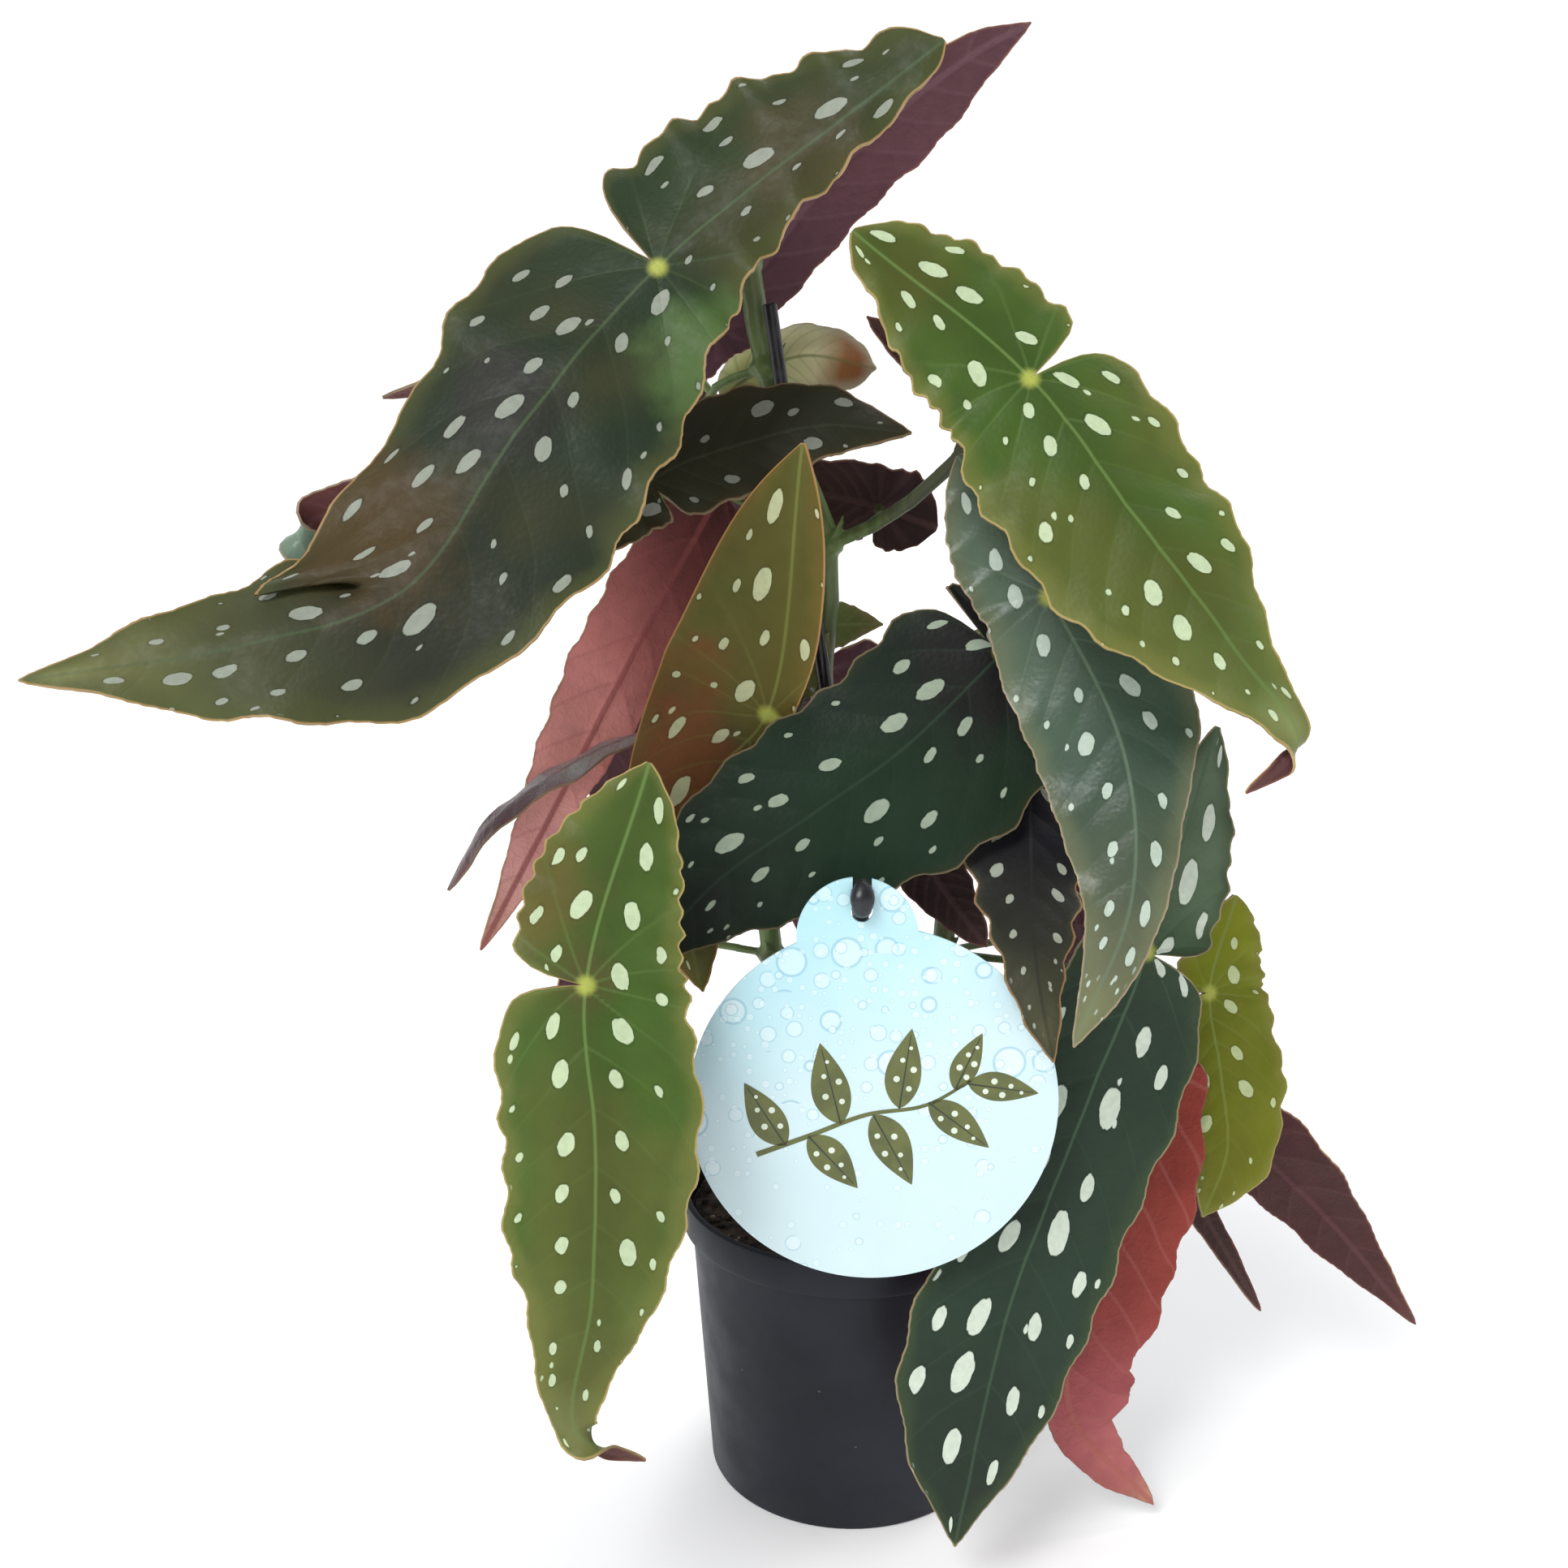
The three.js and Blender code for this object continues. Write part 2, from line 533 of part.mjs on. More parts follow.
function makeLeaf(leaf) {
  const frames = midribFrames(leaf);
  const bladeLength = frames.fullArc - frames.heartArc;
  const scaled = (widths) => widths.map((width) => width * bladeLength * farLeafSpan);
  leaf.wideFull = [endWidth, ...(leaf.wide || scaled(plainWide)), endWidth];
  leaf.narrowFull = [endWidth, ...(leaf.narrow || scaled(plainNarrow)), endWidth];
  const rows = leaf.large ? largeRows : smallRows;
  const halfColumns = leaf.large ? [0, 0.4, 0.75, 1] : [0, 0.55, 1];
  const columns = [...halfColumns.slice(1).reverse().map((c) => -c), ...halfColumns];
  const middle = rows.map((s) => columns.map((across) => bladePoint(leaf, frames, s, across)));
  const width = columns.length;
  const within = (value, count) => Math.min(Math.max(value, 0), count - 1);
  const at = (i, j) => middle[within(i, rows.length)][within(j, width)];
  const vertices = [];
  for (let layer = 0; layer < 2; layer += 1) {
    for (let i = 0; i < rows.length; i += 1) {
      for (let j = 0; j < width; j += 1) {
        const alongVector = at(i + 1, j).clone().sub(at(i - 1, j));
        const acrossVector = at(i, j + 1).clone().sub(at(i, j - 1));
        const normal = acrossVector.cross(alongVector).multiplyScalar(-leaf.wing).normalize();
        const under = columns[j] === 0 ? leafThickness / 2 - midribThickness : -leafThickness / 2;
        const offset = layer === 0 ? leafThickness / 2 : under;
        const point = middle[i][j].clone().addScaledVector(normal, offset);
        vertices.push(point.x, point.y, point.z);
      }
    }
  }
  const id = (layer, i, j) => layer * rows.length * width + i * width + j;
  const triangles = [];
  const face = (a, b, c) => (leaf.wing > 0 ? triangles.push(a, c, b) : triangles.push(a, b, c));
  const quad = (a, b, c, d) => {
    face(a, b, c);
    face(a, c, d);
  };
  for (let i = 0; i < rows.length - 1; i += 1) {
    for (let j = 0; j < width - 1; j += 1) {
      quad(id(0, i, j), id(0, i, j + 1), id(0, i + 1, j + 1), id(0, i + 1, j));
      face(id(1, i, j), id(1, i + 1, j + 1), id(1, i, j + 1));
      face(id(1, i, j), id(1, i + 1, j), id(1, i + 1, j + 1));
    }
    quad(id(0, i, width - 1), id(1, i, width - 1), id(1, i + 1, width - 1), id(0, i + 1, width - 1));
    quad(id(1, i, 0), id(0, i, 0), id(0, i + 1, 0), id(1, i + 1, 0));
  }
  for (let j = 0; j < width - 1; j += 1) {
    const last = rows.length - 1;
    quad(id(1, 0, j), id(1, 0, j + 1), id(0, 0, j + 1), id(0, 0, j));
    quad(id(0, last, j), id(0, last, j + 1), id(1, last, j + 1), id(1, last, j));
  }
  const geometry = new THREE.BufferGeometry();
  geometry.setAttribute('position', new THREE.Float32BufferAttribute(vertices, 3));
  geometry.setIndex(triangles);
  geometry.computeVertexNormals();
  return geometry;
}

// Canes: jointed stems with the leaf stalks that grow from them. A stalk ends just short of the
// underside of its leaf's heart, or of the foot of a young leaf.
const caneFoot = soilTop - plugDepth + 1;
const stalkGap = 2.1;
const stalkApproach = 13;
const youngApproach = 7;
const stalkSteps = 2;
const allLeaves = [...leaves, ...farLeaves, ...youngLeaves];

function makeStalk({ leaf, from, via = [], radius = petioleRadius }) {
  const shape = allLeaves.find((candidate) => candidate.name === leaf);
  const young = youngLeaves.includes(shape);
  const { point, tangent, normal } = frameAt(midribFrames(shape), young ? -1 : -0.02);
  const inward = young ? tangent : normal;
  const approach = young ? youngApproach : shape.approach || stalkApproach;
  const near = point.clone().addScaledVector(inward, -approach);
  const end = point.clone().addScaledVector(inward, -stalkGap);
  const path = [from, ...via, near.toArray(), end.toArray()];
  return tubeAlong(path, radius, stalkSteps * (path.length - 1), 5);
}

const jointSwell = 1.45;

function makeJoint(center) {
  const geometry = new THREE.SphereGeometry(caneRadius * jointSwell, 7, 4);
  geometry.scale(1, 1, 0.8);
  geometry.translate(...center);
  return geometry;
}

function makeCane({ foot, path, joints, stalks }) {
  const start = [[foot.x, foot.y, caneFoot], [foot.x, foot.y, soilTop + 8]];
  const pieces = [tubeAlong([...start, ...path], caneRadius, 2 * path.length + 2, 8)];
  joints.forEach((joint) => pieces.push(makeJoint(joint)));
  stalks.forEach((stalk) => pieces.push(makeStalk(stalk)));
  return toGeometry(joinAll(pieces));
}

const canes = [
  {
    name: 'cane_main',
    foot: plugs.mainCane,
    path: [
      [-4, 5, 160], [-8, 3, 230], [-11, 0, 291], [-9, 0, 334], [-20, 0, 363], [-30, -4, 394], [-35, -7, 424],
    ],
    joints: [[-5, 5, 182], [-11, 0, 271], [-9, 0, 334], [-29, -4, 391], [-35, -7, 423]],
    stalks: [
      { leaf: 'leaf_upper_left', from: [-35, -7, 423] },
      { leaf: 'leaf_top_back', from: [-35, -7, 421] },
      { leaf: 'leaf_far_top', from: [-20, 0, 363], via: [[-36, 14, 370]] },
      { leaf: 'leaf_tip_left', from: [-20, 0, 363], via: [[-55, -6, 372]] },
      { leaf: 'leaf_curled_left', from: [-20, 0, 363], via: [[-58, -12, 374], [-96, -55, 370]] },
      { leaf: 'leaf_centre_back', from: [-20, 0, 363] },
      { leaf: 'leaf_right', from: [-9, 0, 334], via: [[12, -10, 345]], radius: 2.6 },
      { leaf: 'leaf_small_maroon', from: [30, -29, 366] },
      { leaf: 'leaf_rose_left', from: [-9, 0, 334] },
      { leaf: 'leaf_plum', from: [-9, 0, 334] },
      { leaf: 'leaf_olive', from: [-11, 0, 271] },
      { leaf: 'leaf_far_middle', from: [-11, 0, 271] },
      { leaf: 'young_leaf_top', from: [-29, -4, 391], via: [[-46, 5, 384]] },
      { leaf: 'joint_bract', from: [-11, 0, 296] },
      { leaf: 'young_leaf_middle', from: [-11, 0, 271] },
    ],
  },
  {
    name: 'cane_left',
    foot: plugs.leftCane,
    path: [[-24, 14, 150], [-30, 13, 210], [-36, 12, 266]],
    joints: [[-28, 13, 188], [-36, 12, 264]],
    stalks: [
      { leaf: 'leaf_edge_left', from: [-36, 12, 264] },
      { leaf: 'leaf_far_left', from: [-36, 12, 264] },
      { leaf: 'leaf_lower_left', from: [-28, 13, 188], via: [[-46, -40, 168], [-70, -76, 180]] },
      { leaf: 'leaf_far_low_left', from: [-28, 13, 188] },
    ],
  },
  {
    name: 'cane_right',
    foot: plugs.rightCane,
    path: [[29, 12, 150], [33, 8, 200], [34, 4, 250], [32, 2, 302]],
    joints: [[32, 9, 190], [34, 4, 248], [32, 2, 300]],
    stalks: [
      { leaf: 'leaf_grey_right', from: [32, 2, 300], via: [[62, -4, 314], [82, -24, 323]] },
      { leaf: 'leaf_middle', from: [32, 2, 300] },
      { leaf: 'leaf_far_right', from: [32, 2, 300] },
      { leaf: 'leaf_dark_tip', from: [34, 4, 248] },
      { leaf: 'leaf_behind_tag', from: [34, 4, 248], via: [[35, -24, 250]] },
      { leaf: 'leaf_lower_right', from: [34, 4, 248] },
      { leaf: 'leaf_lime_right', from: [32, 9, 190] },
      { leaf: 'leaf_rose_right', from: [32, 9, 190] },
      { leaf: 'leaf_maroon_right', from: [32, 9, 190] },
      { leaf: 'leaf_dark_sliver', from: [32, 9, 190] },
      { leaf: 'leaf_far_low_right', from: [32, 9, 190] },
    ],
  },
];

// A thin straight stick that holds the main cane up.
function makeSupport() {
  const { x, y, radius, top } = plugs.support;
  const lean = (top[0] - x) / (top[2] - soilTop + plugDepth);
  return tubeAlong([[x + lean, y, caneFoot], top], radius, 1, 8);
}

// Tag: a round card with a small holed tab at its top, leaning back a little. The tab has a slot
// above its hole, where the hook passes over it.
const tagCenter = [4, -76, 170];
const tagTabRadius = 18.5;
const tagTab = { x: -5.3, z: 53.7 };
const tagHole = { x: -4, z: 61.6 };
const tagSlotBottom = 66.5;
const tagSlotWidth = 5.8;
const tagLean = THREE.MathUtils.degToRad(3);

function makeTag() {
  const card = new THREE.CylinderGeometry(tagRadius, tagRadius, tagThickness, 56);
  const tab = new THREE.CylinderGeometry(tagTabRadius, tagTabRadius, tagThickness, 28);
  tab.translate(tagTab.x, 0, tagTab.z);
  const hole = new THREE.CylinderGeometry(tagHoleRadius, tagHoleRadius, tagThickness + 2, 20);
  hole.translate(tagHole.x, 0, tagHole.z);
  const slot = new THREE.BoxGeometry(tagSlotWidth, tagThickness + 2, tagTabRadius);
  slot.translate(tagHole.x, 0, tagSlotBottom + tagTabRadius / 2);
  const whole = toSolid(card).add(toSolid(tab)).subtract(toSolid(hole));
  const geometry = toGeometry(whole.subtract(toSolid(slot)));
  geometry.rotateX(-tagLean);
  geometry.translate(...tagCenter);
  return geometry;
}

// Hook: a stake in the soil behind the tag, bent over the tab's slot and back through its hole.
function makeHook() {
  const { x, y } = plugs.tagStake;
  const path = [
    [x, y, caneFoot], [x, y, soilTop + 6], [0, -58, 176], [0, -64.2, 214], [0, -67.8, 229],
    [0, -69.2, 236], [0, -72.5, 239.4], [0, -75.9, 236.4], [0, -75.6, 233], [0, -71.6, 231.6],
  ];
  return tubeAlong(path, hookRadius, 64, 6);
}

addPart('pot', makePot(), 0x2b2c30, 0.45);
addPart('soil', makeSoil(), 0x2a1d14, 0.95);
canes.forEach((cane) => addPart(cane.name, makeCane(cane), stemGreen, 0.5));
addPart('support_stick', makeSupport(), 0x17181a, 0.4);
allLeaves.forEach((leaf) => addPart(leaf.name, makeLeaf(leaf), leaf.color, 0.45));
addPart('plant_tag', makeTag(), 0xcfeef4, 0.35);
addPart('tag_hook', makeHook(), 0x151618, 0.35);

export default begonia;
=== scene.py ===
import math
import random

import bmesh
import bpy
import numpy as np
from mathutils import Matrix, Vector, noise


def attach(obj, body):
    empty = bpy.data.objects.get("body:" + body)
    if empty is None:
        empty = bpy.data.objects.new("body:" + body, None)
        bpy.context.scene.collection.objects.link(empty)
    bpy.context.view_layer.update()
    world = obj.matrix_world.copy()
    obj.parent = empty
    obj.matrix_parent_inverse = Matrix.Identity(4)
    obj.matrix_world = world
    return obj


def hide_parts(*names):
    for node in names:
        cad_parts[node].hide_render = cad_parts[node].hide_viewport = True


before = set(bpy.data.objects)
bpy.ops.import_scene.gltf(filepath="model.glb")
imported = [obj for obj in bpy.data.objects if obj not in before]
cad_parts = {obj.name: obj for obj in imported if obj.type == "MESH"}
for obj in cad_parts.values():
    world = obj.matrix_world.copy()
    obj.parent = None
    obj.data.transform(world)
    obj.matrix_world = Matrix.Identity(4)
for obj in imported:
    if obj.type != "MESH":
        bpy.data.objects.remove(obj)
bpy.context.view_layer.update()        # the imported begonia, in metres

mm = 0.001


# helpers for finishes, whose colours are written in thousandths

def rgba(color):
    return (*(part / 1000 for part in color), 1)


class Finish:
    def __init__(self, tree):
        self.tree = tree
        self.place = self.node("TexCoord").outputs["Object"]

    def feed(self, socket, value):
        if isinstance(value, bpy.types.NodeSocket):
            self.tree.links.new(value, socket)
        else:
            socket.default_value = rgba(value) if socket.type == "RGBA" else value

    def node(self, kind, inputs=(), **settings):
        node = self.tree.nodes.new("ShaderNode" + kind)
        for key, value in settings.items():
            setattr(node, key, value)
        for key, value in dict(inputs).items():
            self.feed(node.inputs[key], value)
        return node

    def maths(self, operation, *values):
        return self.node("Math", enumerate(values), operation=operation).outputs[0]

    def times(self, a, b):
        return self.maths("MULTIPLY", a, b)

    def minus(self, a, b):
        return self.maths("SUBTRACT", a, b)

    def above(self, a, b):
        return self.maths("GREATER_THAN", a, b)

    def fade(self, value, low, high, toLow=0.0, toHigh=1.0):
        numbers = enumerate((value, low, high, toLow, toHigh))
        return self.node("MapRange", numbers, interpolation_type="SMOOTHSTEP").outputs[0]

    def near(self, center, reach, uneven, amount):
        far = self.node("VectorMath", {0: self.place, 1: tuple(c * mm for c in center)}, operation="DISTANCE")
        wander = self.maths("MULTIPLY_ADD", uneven, 1.1 * reach * mm, -0.55 * reach * mm)
        far = self.maths("ADD", far.outputs["Value"], wander)
        return self.fade(far, 0.35 * reach * mm, reach * mm, amount, 0)

    def split(self, vector):
        return self.node("SeparateXYZ", {0: vector}).outputs

    def noise(self, scale, detail, place=None):
        inputs = {"Vector": place or self.place, "Scale": scale, "Detail": detail}
        return self.node("TexNoise", inputs).outputs[0]

    def cells(self, scale, place=None, uneven=1, **settings):
        inputs = {"Vector": place or self.place, "Scale": scale, "Randomness": uneven}
        return self.node("TexVoronoi", inputs, **settings).outputs

    def mix(self, amount, a, b):
        return self.node("Mix", {"Factor": amount, 6: a, 7: b}, data_type="RGBA").outputs[2]

    def paint(self, amount, color):
        self.color = self.mix(amount, self.color, color)

    def deepen(self, amount, factor):
        deeper = self.node("VectorMath", {0: self.color, "Scale": factor}, operation="SCALE")
        self.paint(amount, deeper.outputs[0])

    def ramp(self, amount, stops):
        node = self.node("ValToRGB", {0: amount})
        elements = node.color_ramp.elements
        while len(elements) < len(stops):
            elements.new(0.5)
        for element, (place, *color) in zip(elements, stops):
            element.position = place
            element.color = rgba(color)
        self.color = node.outputs[0]


class Surface(Finish):
    def __init__(self, name, roughness, shine=0.5):
        self.material = bpy.data.materials.new(name)
        self.material.use_nodes = True
        super().__init__(self.material.node_tree)
        self.shader = self.tree.nodes["Principled BSDF"].inputs
        self.give("Roughness", roughness)
        self.give("Specular IOR Level", shine)

    def give(self, socket, value):
        self.feed(self.shader[socket], value)

    def roughen(self, grain, low, high):
        self.give("Roughness", self.fade(grain, 0.3, 0.7, low, high))

    def bump(self, height, strength, distance):
        inputs = {"Height": height, "Strength": strength, "Distance": distance}
        self.give("Normal", self.node("Bump", inputs).outputs[0])

    def done(self):
        self.give("Base Color", self.color)
        return self.material


# helpers for shapes

def readPlaces(mesh):
    places = np.zeros(len(mesh.vertices) * 3)
    mesh.vertices.foreach_get("co", places)
    return places.reshape(-1, 3)


def pickOnly(*pieces):
    bpy.ops.object.select_all(action="DESELECT")
    for piece in pieces:
        piece.select_set(True)
    bpy.context.view_layer.objects.active = pieces[0]


def linked(name, data):
    made = bpy.data.objects.new(name, data)
    bpy.context.scene.collection.objects.link(made)
    pickOnly(made)
    return made


def placed(piece):
    pickOnly(piece)
    bpy.ops.object.transform_apply(location=True, rotation=True, scale=True)
    return piece


def applied(piece, kind, **settings):
    modifier = piece.modifiers.new(kind, kind)
    for key, value in settings.items():
        setattr(modifier, key, value)
    bpy.context.view_layer.objects.active = piece
    bpy.ops.object.modifier_apply(modifier=modifier.name)


def combined(piece, other, operation):
    applied(piece, "BOOLEAN", object=other, operation=operation, solver="EXACT")
    bpy.data.objects.remove(other)


def smoothBy(piece, degrees):
    pickOnly(piece)
    bpy.ops.object.shade_smooth_by_angle(angle=math.radians(degrees))


def handOver(piece, name, slot, *nodes):
    piece.name = piece.data.name = name
    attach(piece, "root")
    if nodes:
        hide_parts(*nodes)


# camera, floor and light

cameraSettings = {"place": (-0.0235, -0.5795, 0.395), "pitch": 76.25, "lens": 40.43, "sensor": 36}
floorSettings = {"size": 14, "color": (975, 975, 975), "roughness": 0.7, "glow": 0.12}
lightSettings = {
    "keyLight": {"place": (-0.8, -1.0, 1.6), "angle": 28, "power": 1.9},
    "backLight": {"place": (0.7, 0.9, 1.5), "angle": 40, "power": 1.1},
}
roomSettings = {"wall": (1030, 1030, 1030), "ceiling": (400, 410, 430), "wallTop": 0.22, "ceilingFoot": 0.52}
aimHeight = 0.2


def addCamera():
    bpy.ops.object.camera_add(location=cameraSettings["place"])
    camera = bpy.context.object
    camera.name = "photoCamera"
    camera.rotation_euler = (math.radians(cameraSettings["pitch"]), 0, 0)
    camera.data.lens = cameraSettings["lens"]
    camera.data.sensor_width = cameraSettings["sensor"]
    bpy.context.scene.camera = camera
    bpy.context.scene.view_settings.view_transform = "Standard"


def addFloor():
    bpy.ops.mesh.primitive_plane_add(size=floorSettings["size"])
    floor = bpy.context.object
    floor.name = "paleFloor"
    paper = Surface("palePaper", floorSettings["roughness"])
    paper.color = floorSettings["color"]
    paper.give("Emission Color", floorSettings["color"])
    paper.give("Emission Strength", floorSettings["glow"])
    floor.data.materials.append(paper.done())


def addLights():
    for name, settings in lightSettings.items():
        bpy.ops.object.light_add(type="SUN", location=settings["place"])
        light = bpy.context.object
        light.name = name
        light.data.angle = math.radians(settings["angle"])
        light.data.energy = settings["power"]
        aim = Vector((0, 0, aimHeight)) - light.location
        light.rotation_euler = aim.to_track_quat("-Z", "Y").to_euler()
    # white walls all round under a dimmer ceiling
    world = bpy.data.worlds.new("softStudio")
    world.use_nodes = True
    room = Finish(world.node_tree)
    rise = room.split(room.node("TexCoord").outputs["Generated"])[2]
    rise = room.fade(rise, roomSettings["wallTop"], roomSettings["ceilingFoot"])
    color = room.mix(rise, roomSettings["wall"], roomSettings["ceiling"])
    room.feed(world.node_tree.nodes["Background"].inputs["Color"], color)
    bpy.context.scene.world = world


addCamera()
addFloor()
addLights()
print("camera, floor and light are in place")


# leaf finishes: stops run from the back lobe's end (0) past the heart (0.5) to the tip (1)

plainUpper = dict(
    patchAmount=0.5, edgeReach=5, heart=0.9, nearRib=0.25, speckFrom=0.5, specks=0.15, roughness=0.44,
    shine=0.14, tints=[], size=None)
upperLooks = {
    "deepGreen": dict(
        stops=[(0, 44, 56, 20), (0.42, 26, 45, 18), (0.6, 20, 34, 18), (0.78, 26, 29, 18),
            (0.88, 75, 84, 36), (0.96, 160, 170, 55), (1, 280, 300, 110)], patch=(70, 60, 22),
        edge=(75, 85, 28), edgeReach=9, vein=(60, 95, 40), margin=(440, 280, 120), spot=(300, 330, 270),
        size=(0.08, 0.27), specks=0.05, shine=0.13,
        tints=[((-138, -86, 350), 36, (74, 48, 18), 0.85), ((-45, -56, 392), 26, (85, 150, 45), 0.8),
            ((-105, -68, 380), 24, (30, 29, 25), 0.8), ((-20, -50, 455), 26, (75, 56, 24), 0.6),
            ((-92, -66, 425), 22, (80, 80, 26), 0.55)]),
    "freshGreen": dict(
        stops=[(0, 70, 112, 20), (0.5, 56, 108, 18), (0.75, 72, 124, 22), (0.87, 130, 176, 44),
            (0.94, 340, 380, 160), (1, 480, 530, 260)], patch=(115, 106, 24), edge=(165, 178, 44),
        edgeReach=8, vein=(130, 215, 60), margin=(460, 340, 130), spot=(540, 650, 410), size=(0.13, 0.25),
        nearRib=0.55, roughness=0.42,
        tints=[((-18, -60, 400), 22, (120, 110, 22), 0.7), ((-97, -96, 246), 24, (120, 98, 26), 0.75),
            ((-82, -100, 222), 14, (110, 92, 28), 0.6)]),
    "greySheen": dict(
        stops=[(0, 105, 160, 100), (0.5, 80, 125, 80), (0.7, 46, 84, 53), (0.84, 85, 110, 62),
            (0.92, 140, 148, 78), (0.97, 260, 270, 110), (1, 360, 360, 140)], patch=(35, 55, 38),
        patchAmount=0.4, edge=(135, 155, 78), edgeReach=8, vein=(130, 195, 125), margin=(360, 270, 170),
        spot=(500, 600, 500), size=(0.12, 0.24), specks=1.5, speckFrom=0.72, roughness=0.34, shine=0.3),
    # next look: the curled leaf's green upper side, lightened to bluish grey-green by a painted sheen
    "tealSheen": dict(
        stops=[(0, 150, 225, 165), (0.5, 150, 225, 165), (1, 190, 270, 190)], patch=(85, 140, 100),
        patchAmount=0.4, edge=(130, 190, 130), edgeReach=3, vein=(210, 300, 220), margin=(360, 270, 170),
        roughness=0.36, shine=0.3),
    "nightGreen": dict(
        stops=[(0, 13, 14, 12), (0.5, 12, 22, 12), (0.72, 12, 32, 15), (1, 15, 22, 14)], patch=(10, 12, 11),
        edge=(22, 32, 15), vein=(24, 46, 26), margin=(200, 150, 80), spot=(330, 400, 300), size=(0.11, 0.24),
        specks=0.05, roughness=0.46,
        tints=[((46, -34, 302), 36, (13, 11, 12), 0.85), ((-60, -53, 222), 22, (14, 18, 14), 0.7)]),
    "forestGreen": dict(
        stops=[(0, 150, 210, 130), (0.3, 110, 165, 95), (0.46, 60, 105, 55), (0.54, 24, 44, 26),
            (0.8, 24, 44, 27), (1, 28, 42, 28)], patch=(18, 30, 20), patchAmount=0.45, edge=(45, 70, 30),
        edgeReach=6, vein=(65, 115, 65), margin=(340, 270, 150), spot=(640, 720, 600), size=(0.17, 0.31),
        specks=0.05, roughness=0.4),
    "lime": dict(
        stops=[(0, 215, 240, 14), (0.5, 180, 215, 12), (1, 160, 165, 14)], patch=(120, 128, 20),
        patchAmount=0.4, edge=(220, 215, 45), edgeReach=6, vein=(200, 245, 60), margin=(360, 300, 110),
        spot=(520, 600, 320), size=(0.15, 0.27), roughness=0.46, shine=0.08),
    "amber": dict(
        stops=[(0, 72, 86, 15), (0.25, 86, 92, 17), (0.52, 110, 100, 20), (0.62, 62, 54, 26),
            (0.9, 46, 50, 26), (0.94, 120, 130, 45), (1, 300, 340, 130)], patch=(120, 94, 18),
        edge=(150, 105, 22), edgeReach=7, vein=(165, 180, 45), margin=(460, 240, 80), spot=(520, 550, 320),
        size=(0.12, 0.28),
        tints=[((-63, -38, 292), 30, (175, 60, 18), 0.9), ((-57, -30, 268), 28, (185, 66, 18), 0.85)]),
    "umber": dict(
        stops=[(0, 50, 46, 18), (0.5, 31, 37, 20), (1, 27, 31, 18)], patch=(36, 30, 13), patchAmount=0.4,
        edge=(45, 36, 16), vein=(45, 50, 28), margin=(260, 180, 90), spot=(250, 270, 220), size=(0.11, 0.24),
        heart=0, roughness=0.5),
    "blackBrown": dict(
        stops=[(0, 6, 6, 9), (0.62, 7, 7, 10), (0.8, 30, 32, 22), (1, 130, 132, 66)], patch=(20, 18, 14),
        patchAmount=0.3, edge=(45, 46, 26), edgeReach=4, vein=(20, 21, 19), margin=(340, 200, 90),
        spot=(350, 380, 300), size=(0.1, 0.19), specks=1, roughness=0.5),
    "cream": dict(
        stops=[(0, 300, 370, 80), (0.5, 540, 580, 210), (0.78, 680, 640, 360), (0.88, 300, 120, 40),
            (1, 220, 75, 25)], patch=(560, 520, 330), edge=(460, 440, 310), vein=(150, 170, 60),
        margin=(420, 360, 200), heart=0, roughness=0.55),
    "sprout": dict(
        stops=[(0, 130, 190, 50), (0.5, 210, 290, 85), (1, 160, 130, 45)], patch=(280, 330, 140),
        edge=(280, 270, 110), edgeReach=3, vein=(220, 270, 100), margin=(320, 270, 140), heart=0,
        roughness=0.5),
}
plainUnder = dict(darkAmount=0.4, veinAmount=0.4, roughness=0.5, shine=0.12)
underLooks = {
    "maroon": dict(
        stops=[(0, 125, 58, 72), (0.5, 112, 52, 66), (1, 115, 48, 56)], dark=(64, 32, 42), vein=(140, 70, 84),
        roughness=0.52),
    # next look: pink underside, made very pale past the heart to paint the glow of light shining through the
    # leaf, also where it lies in shade
    "roseBacklit": dict(
        stops=[(0, 100, 34, 36), (0.52, 110, 39, 39), (0.59, 250, 78, 72), (0.68, 560, 200, 180),
            (0.8, 820, 360, 320), (0.92, 920, 460, 420), (1, 660, 350, 260)], dark=(380, 115, 105),
        darkAmount=0.38, vein=(340, 100, 95), veinAmount=0.22, roughness=0.54),
    # next look: red underside, pinker towards the tip, partly its own colour and partly painted light shining
    # through the leaf
    "coralBacklit": dict(
        stops=[(0, 270, 46, 30), (0.6, 275, 46, 32), (0.75, 300, 60, 50), (0.86, 390, 100, 108),
            (0.96, 470, 150, 148), (1, 560, 330, 200)], dark=(170, 32, 27), darkAmount=0.35,
        vein=(380, 120, 100)),
    "wine": dict(
        stops=[(0, 58, 24, 27), (0.5, 78, 28, 30), (0.97, 96, 36, 32), (1, 125, 80, 45)], dark=(36, 18, 20),
        vein=(105, 42, 42), roughness=0.46),
    "plum": dict(
        stops=[(0, 40, 21, 20), (0.5, 46, 23, 22), (1, 56, 28, 25)], dark=(24, 14, 14), vein=(75, 40, 36)),
    "claret": dict(
        stops=[(0, 120, 46, 50), (0.5, 150, 52, 56), (1, 180, 66, 60)], dark=(70, 34, 38), vein=(190, 80, 80),
        roughness=0.46),
    # next look: the grey from the back lobe past the middle is a painted sheen; the maroon towards the tip is
    # the underside's own colour
    "pearlSheen": dict(
        stops=[(0, 160, 160, 150), (0.5, 400, 410, 390), (0.7, 400, 410, 390), (0.78, 160, 90, 94),
            (1, 130, 50, 56)], dark=(75, 60, 56), darkAmount=0.45, vein=(200, 160, 160), roughness=0.3,
        shine=0.5),
}

gridKeys = ("along", "toMargin", "fromRib", "fromHeart")
wideColumn, narrowColumn = 20.505, 9.945        # where the rows of spots start in u beside the midrib
heartColor, underMargin = (420, 460, 90), (300, 110, 80)


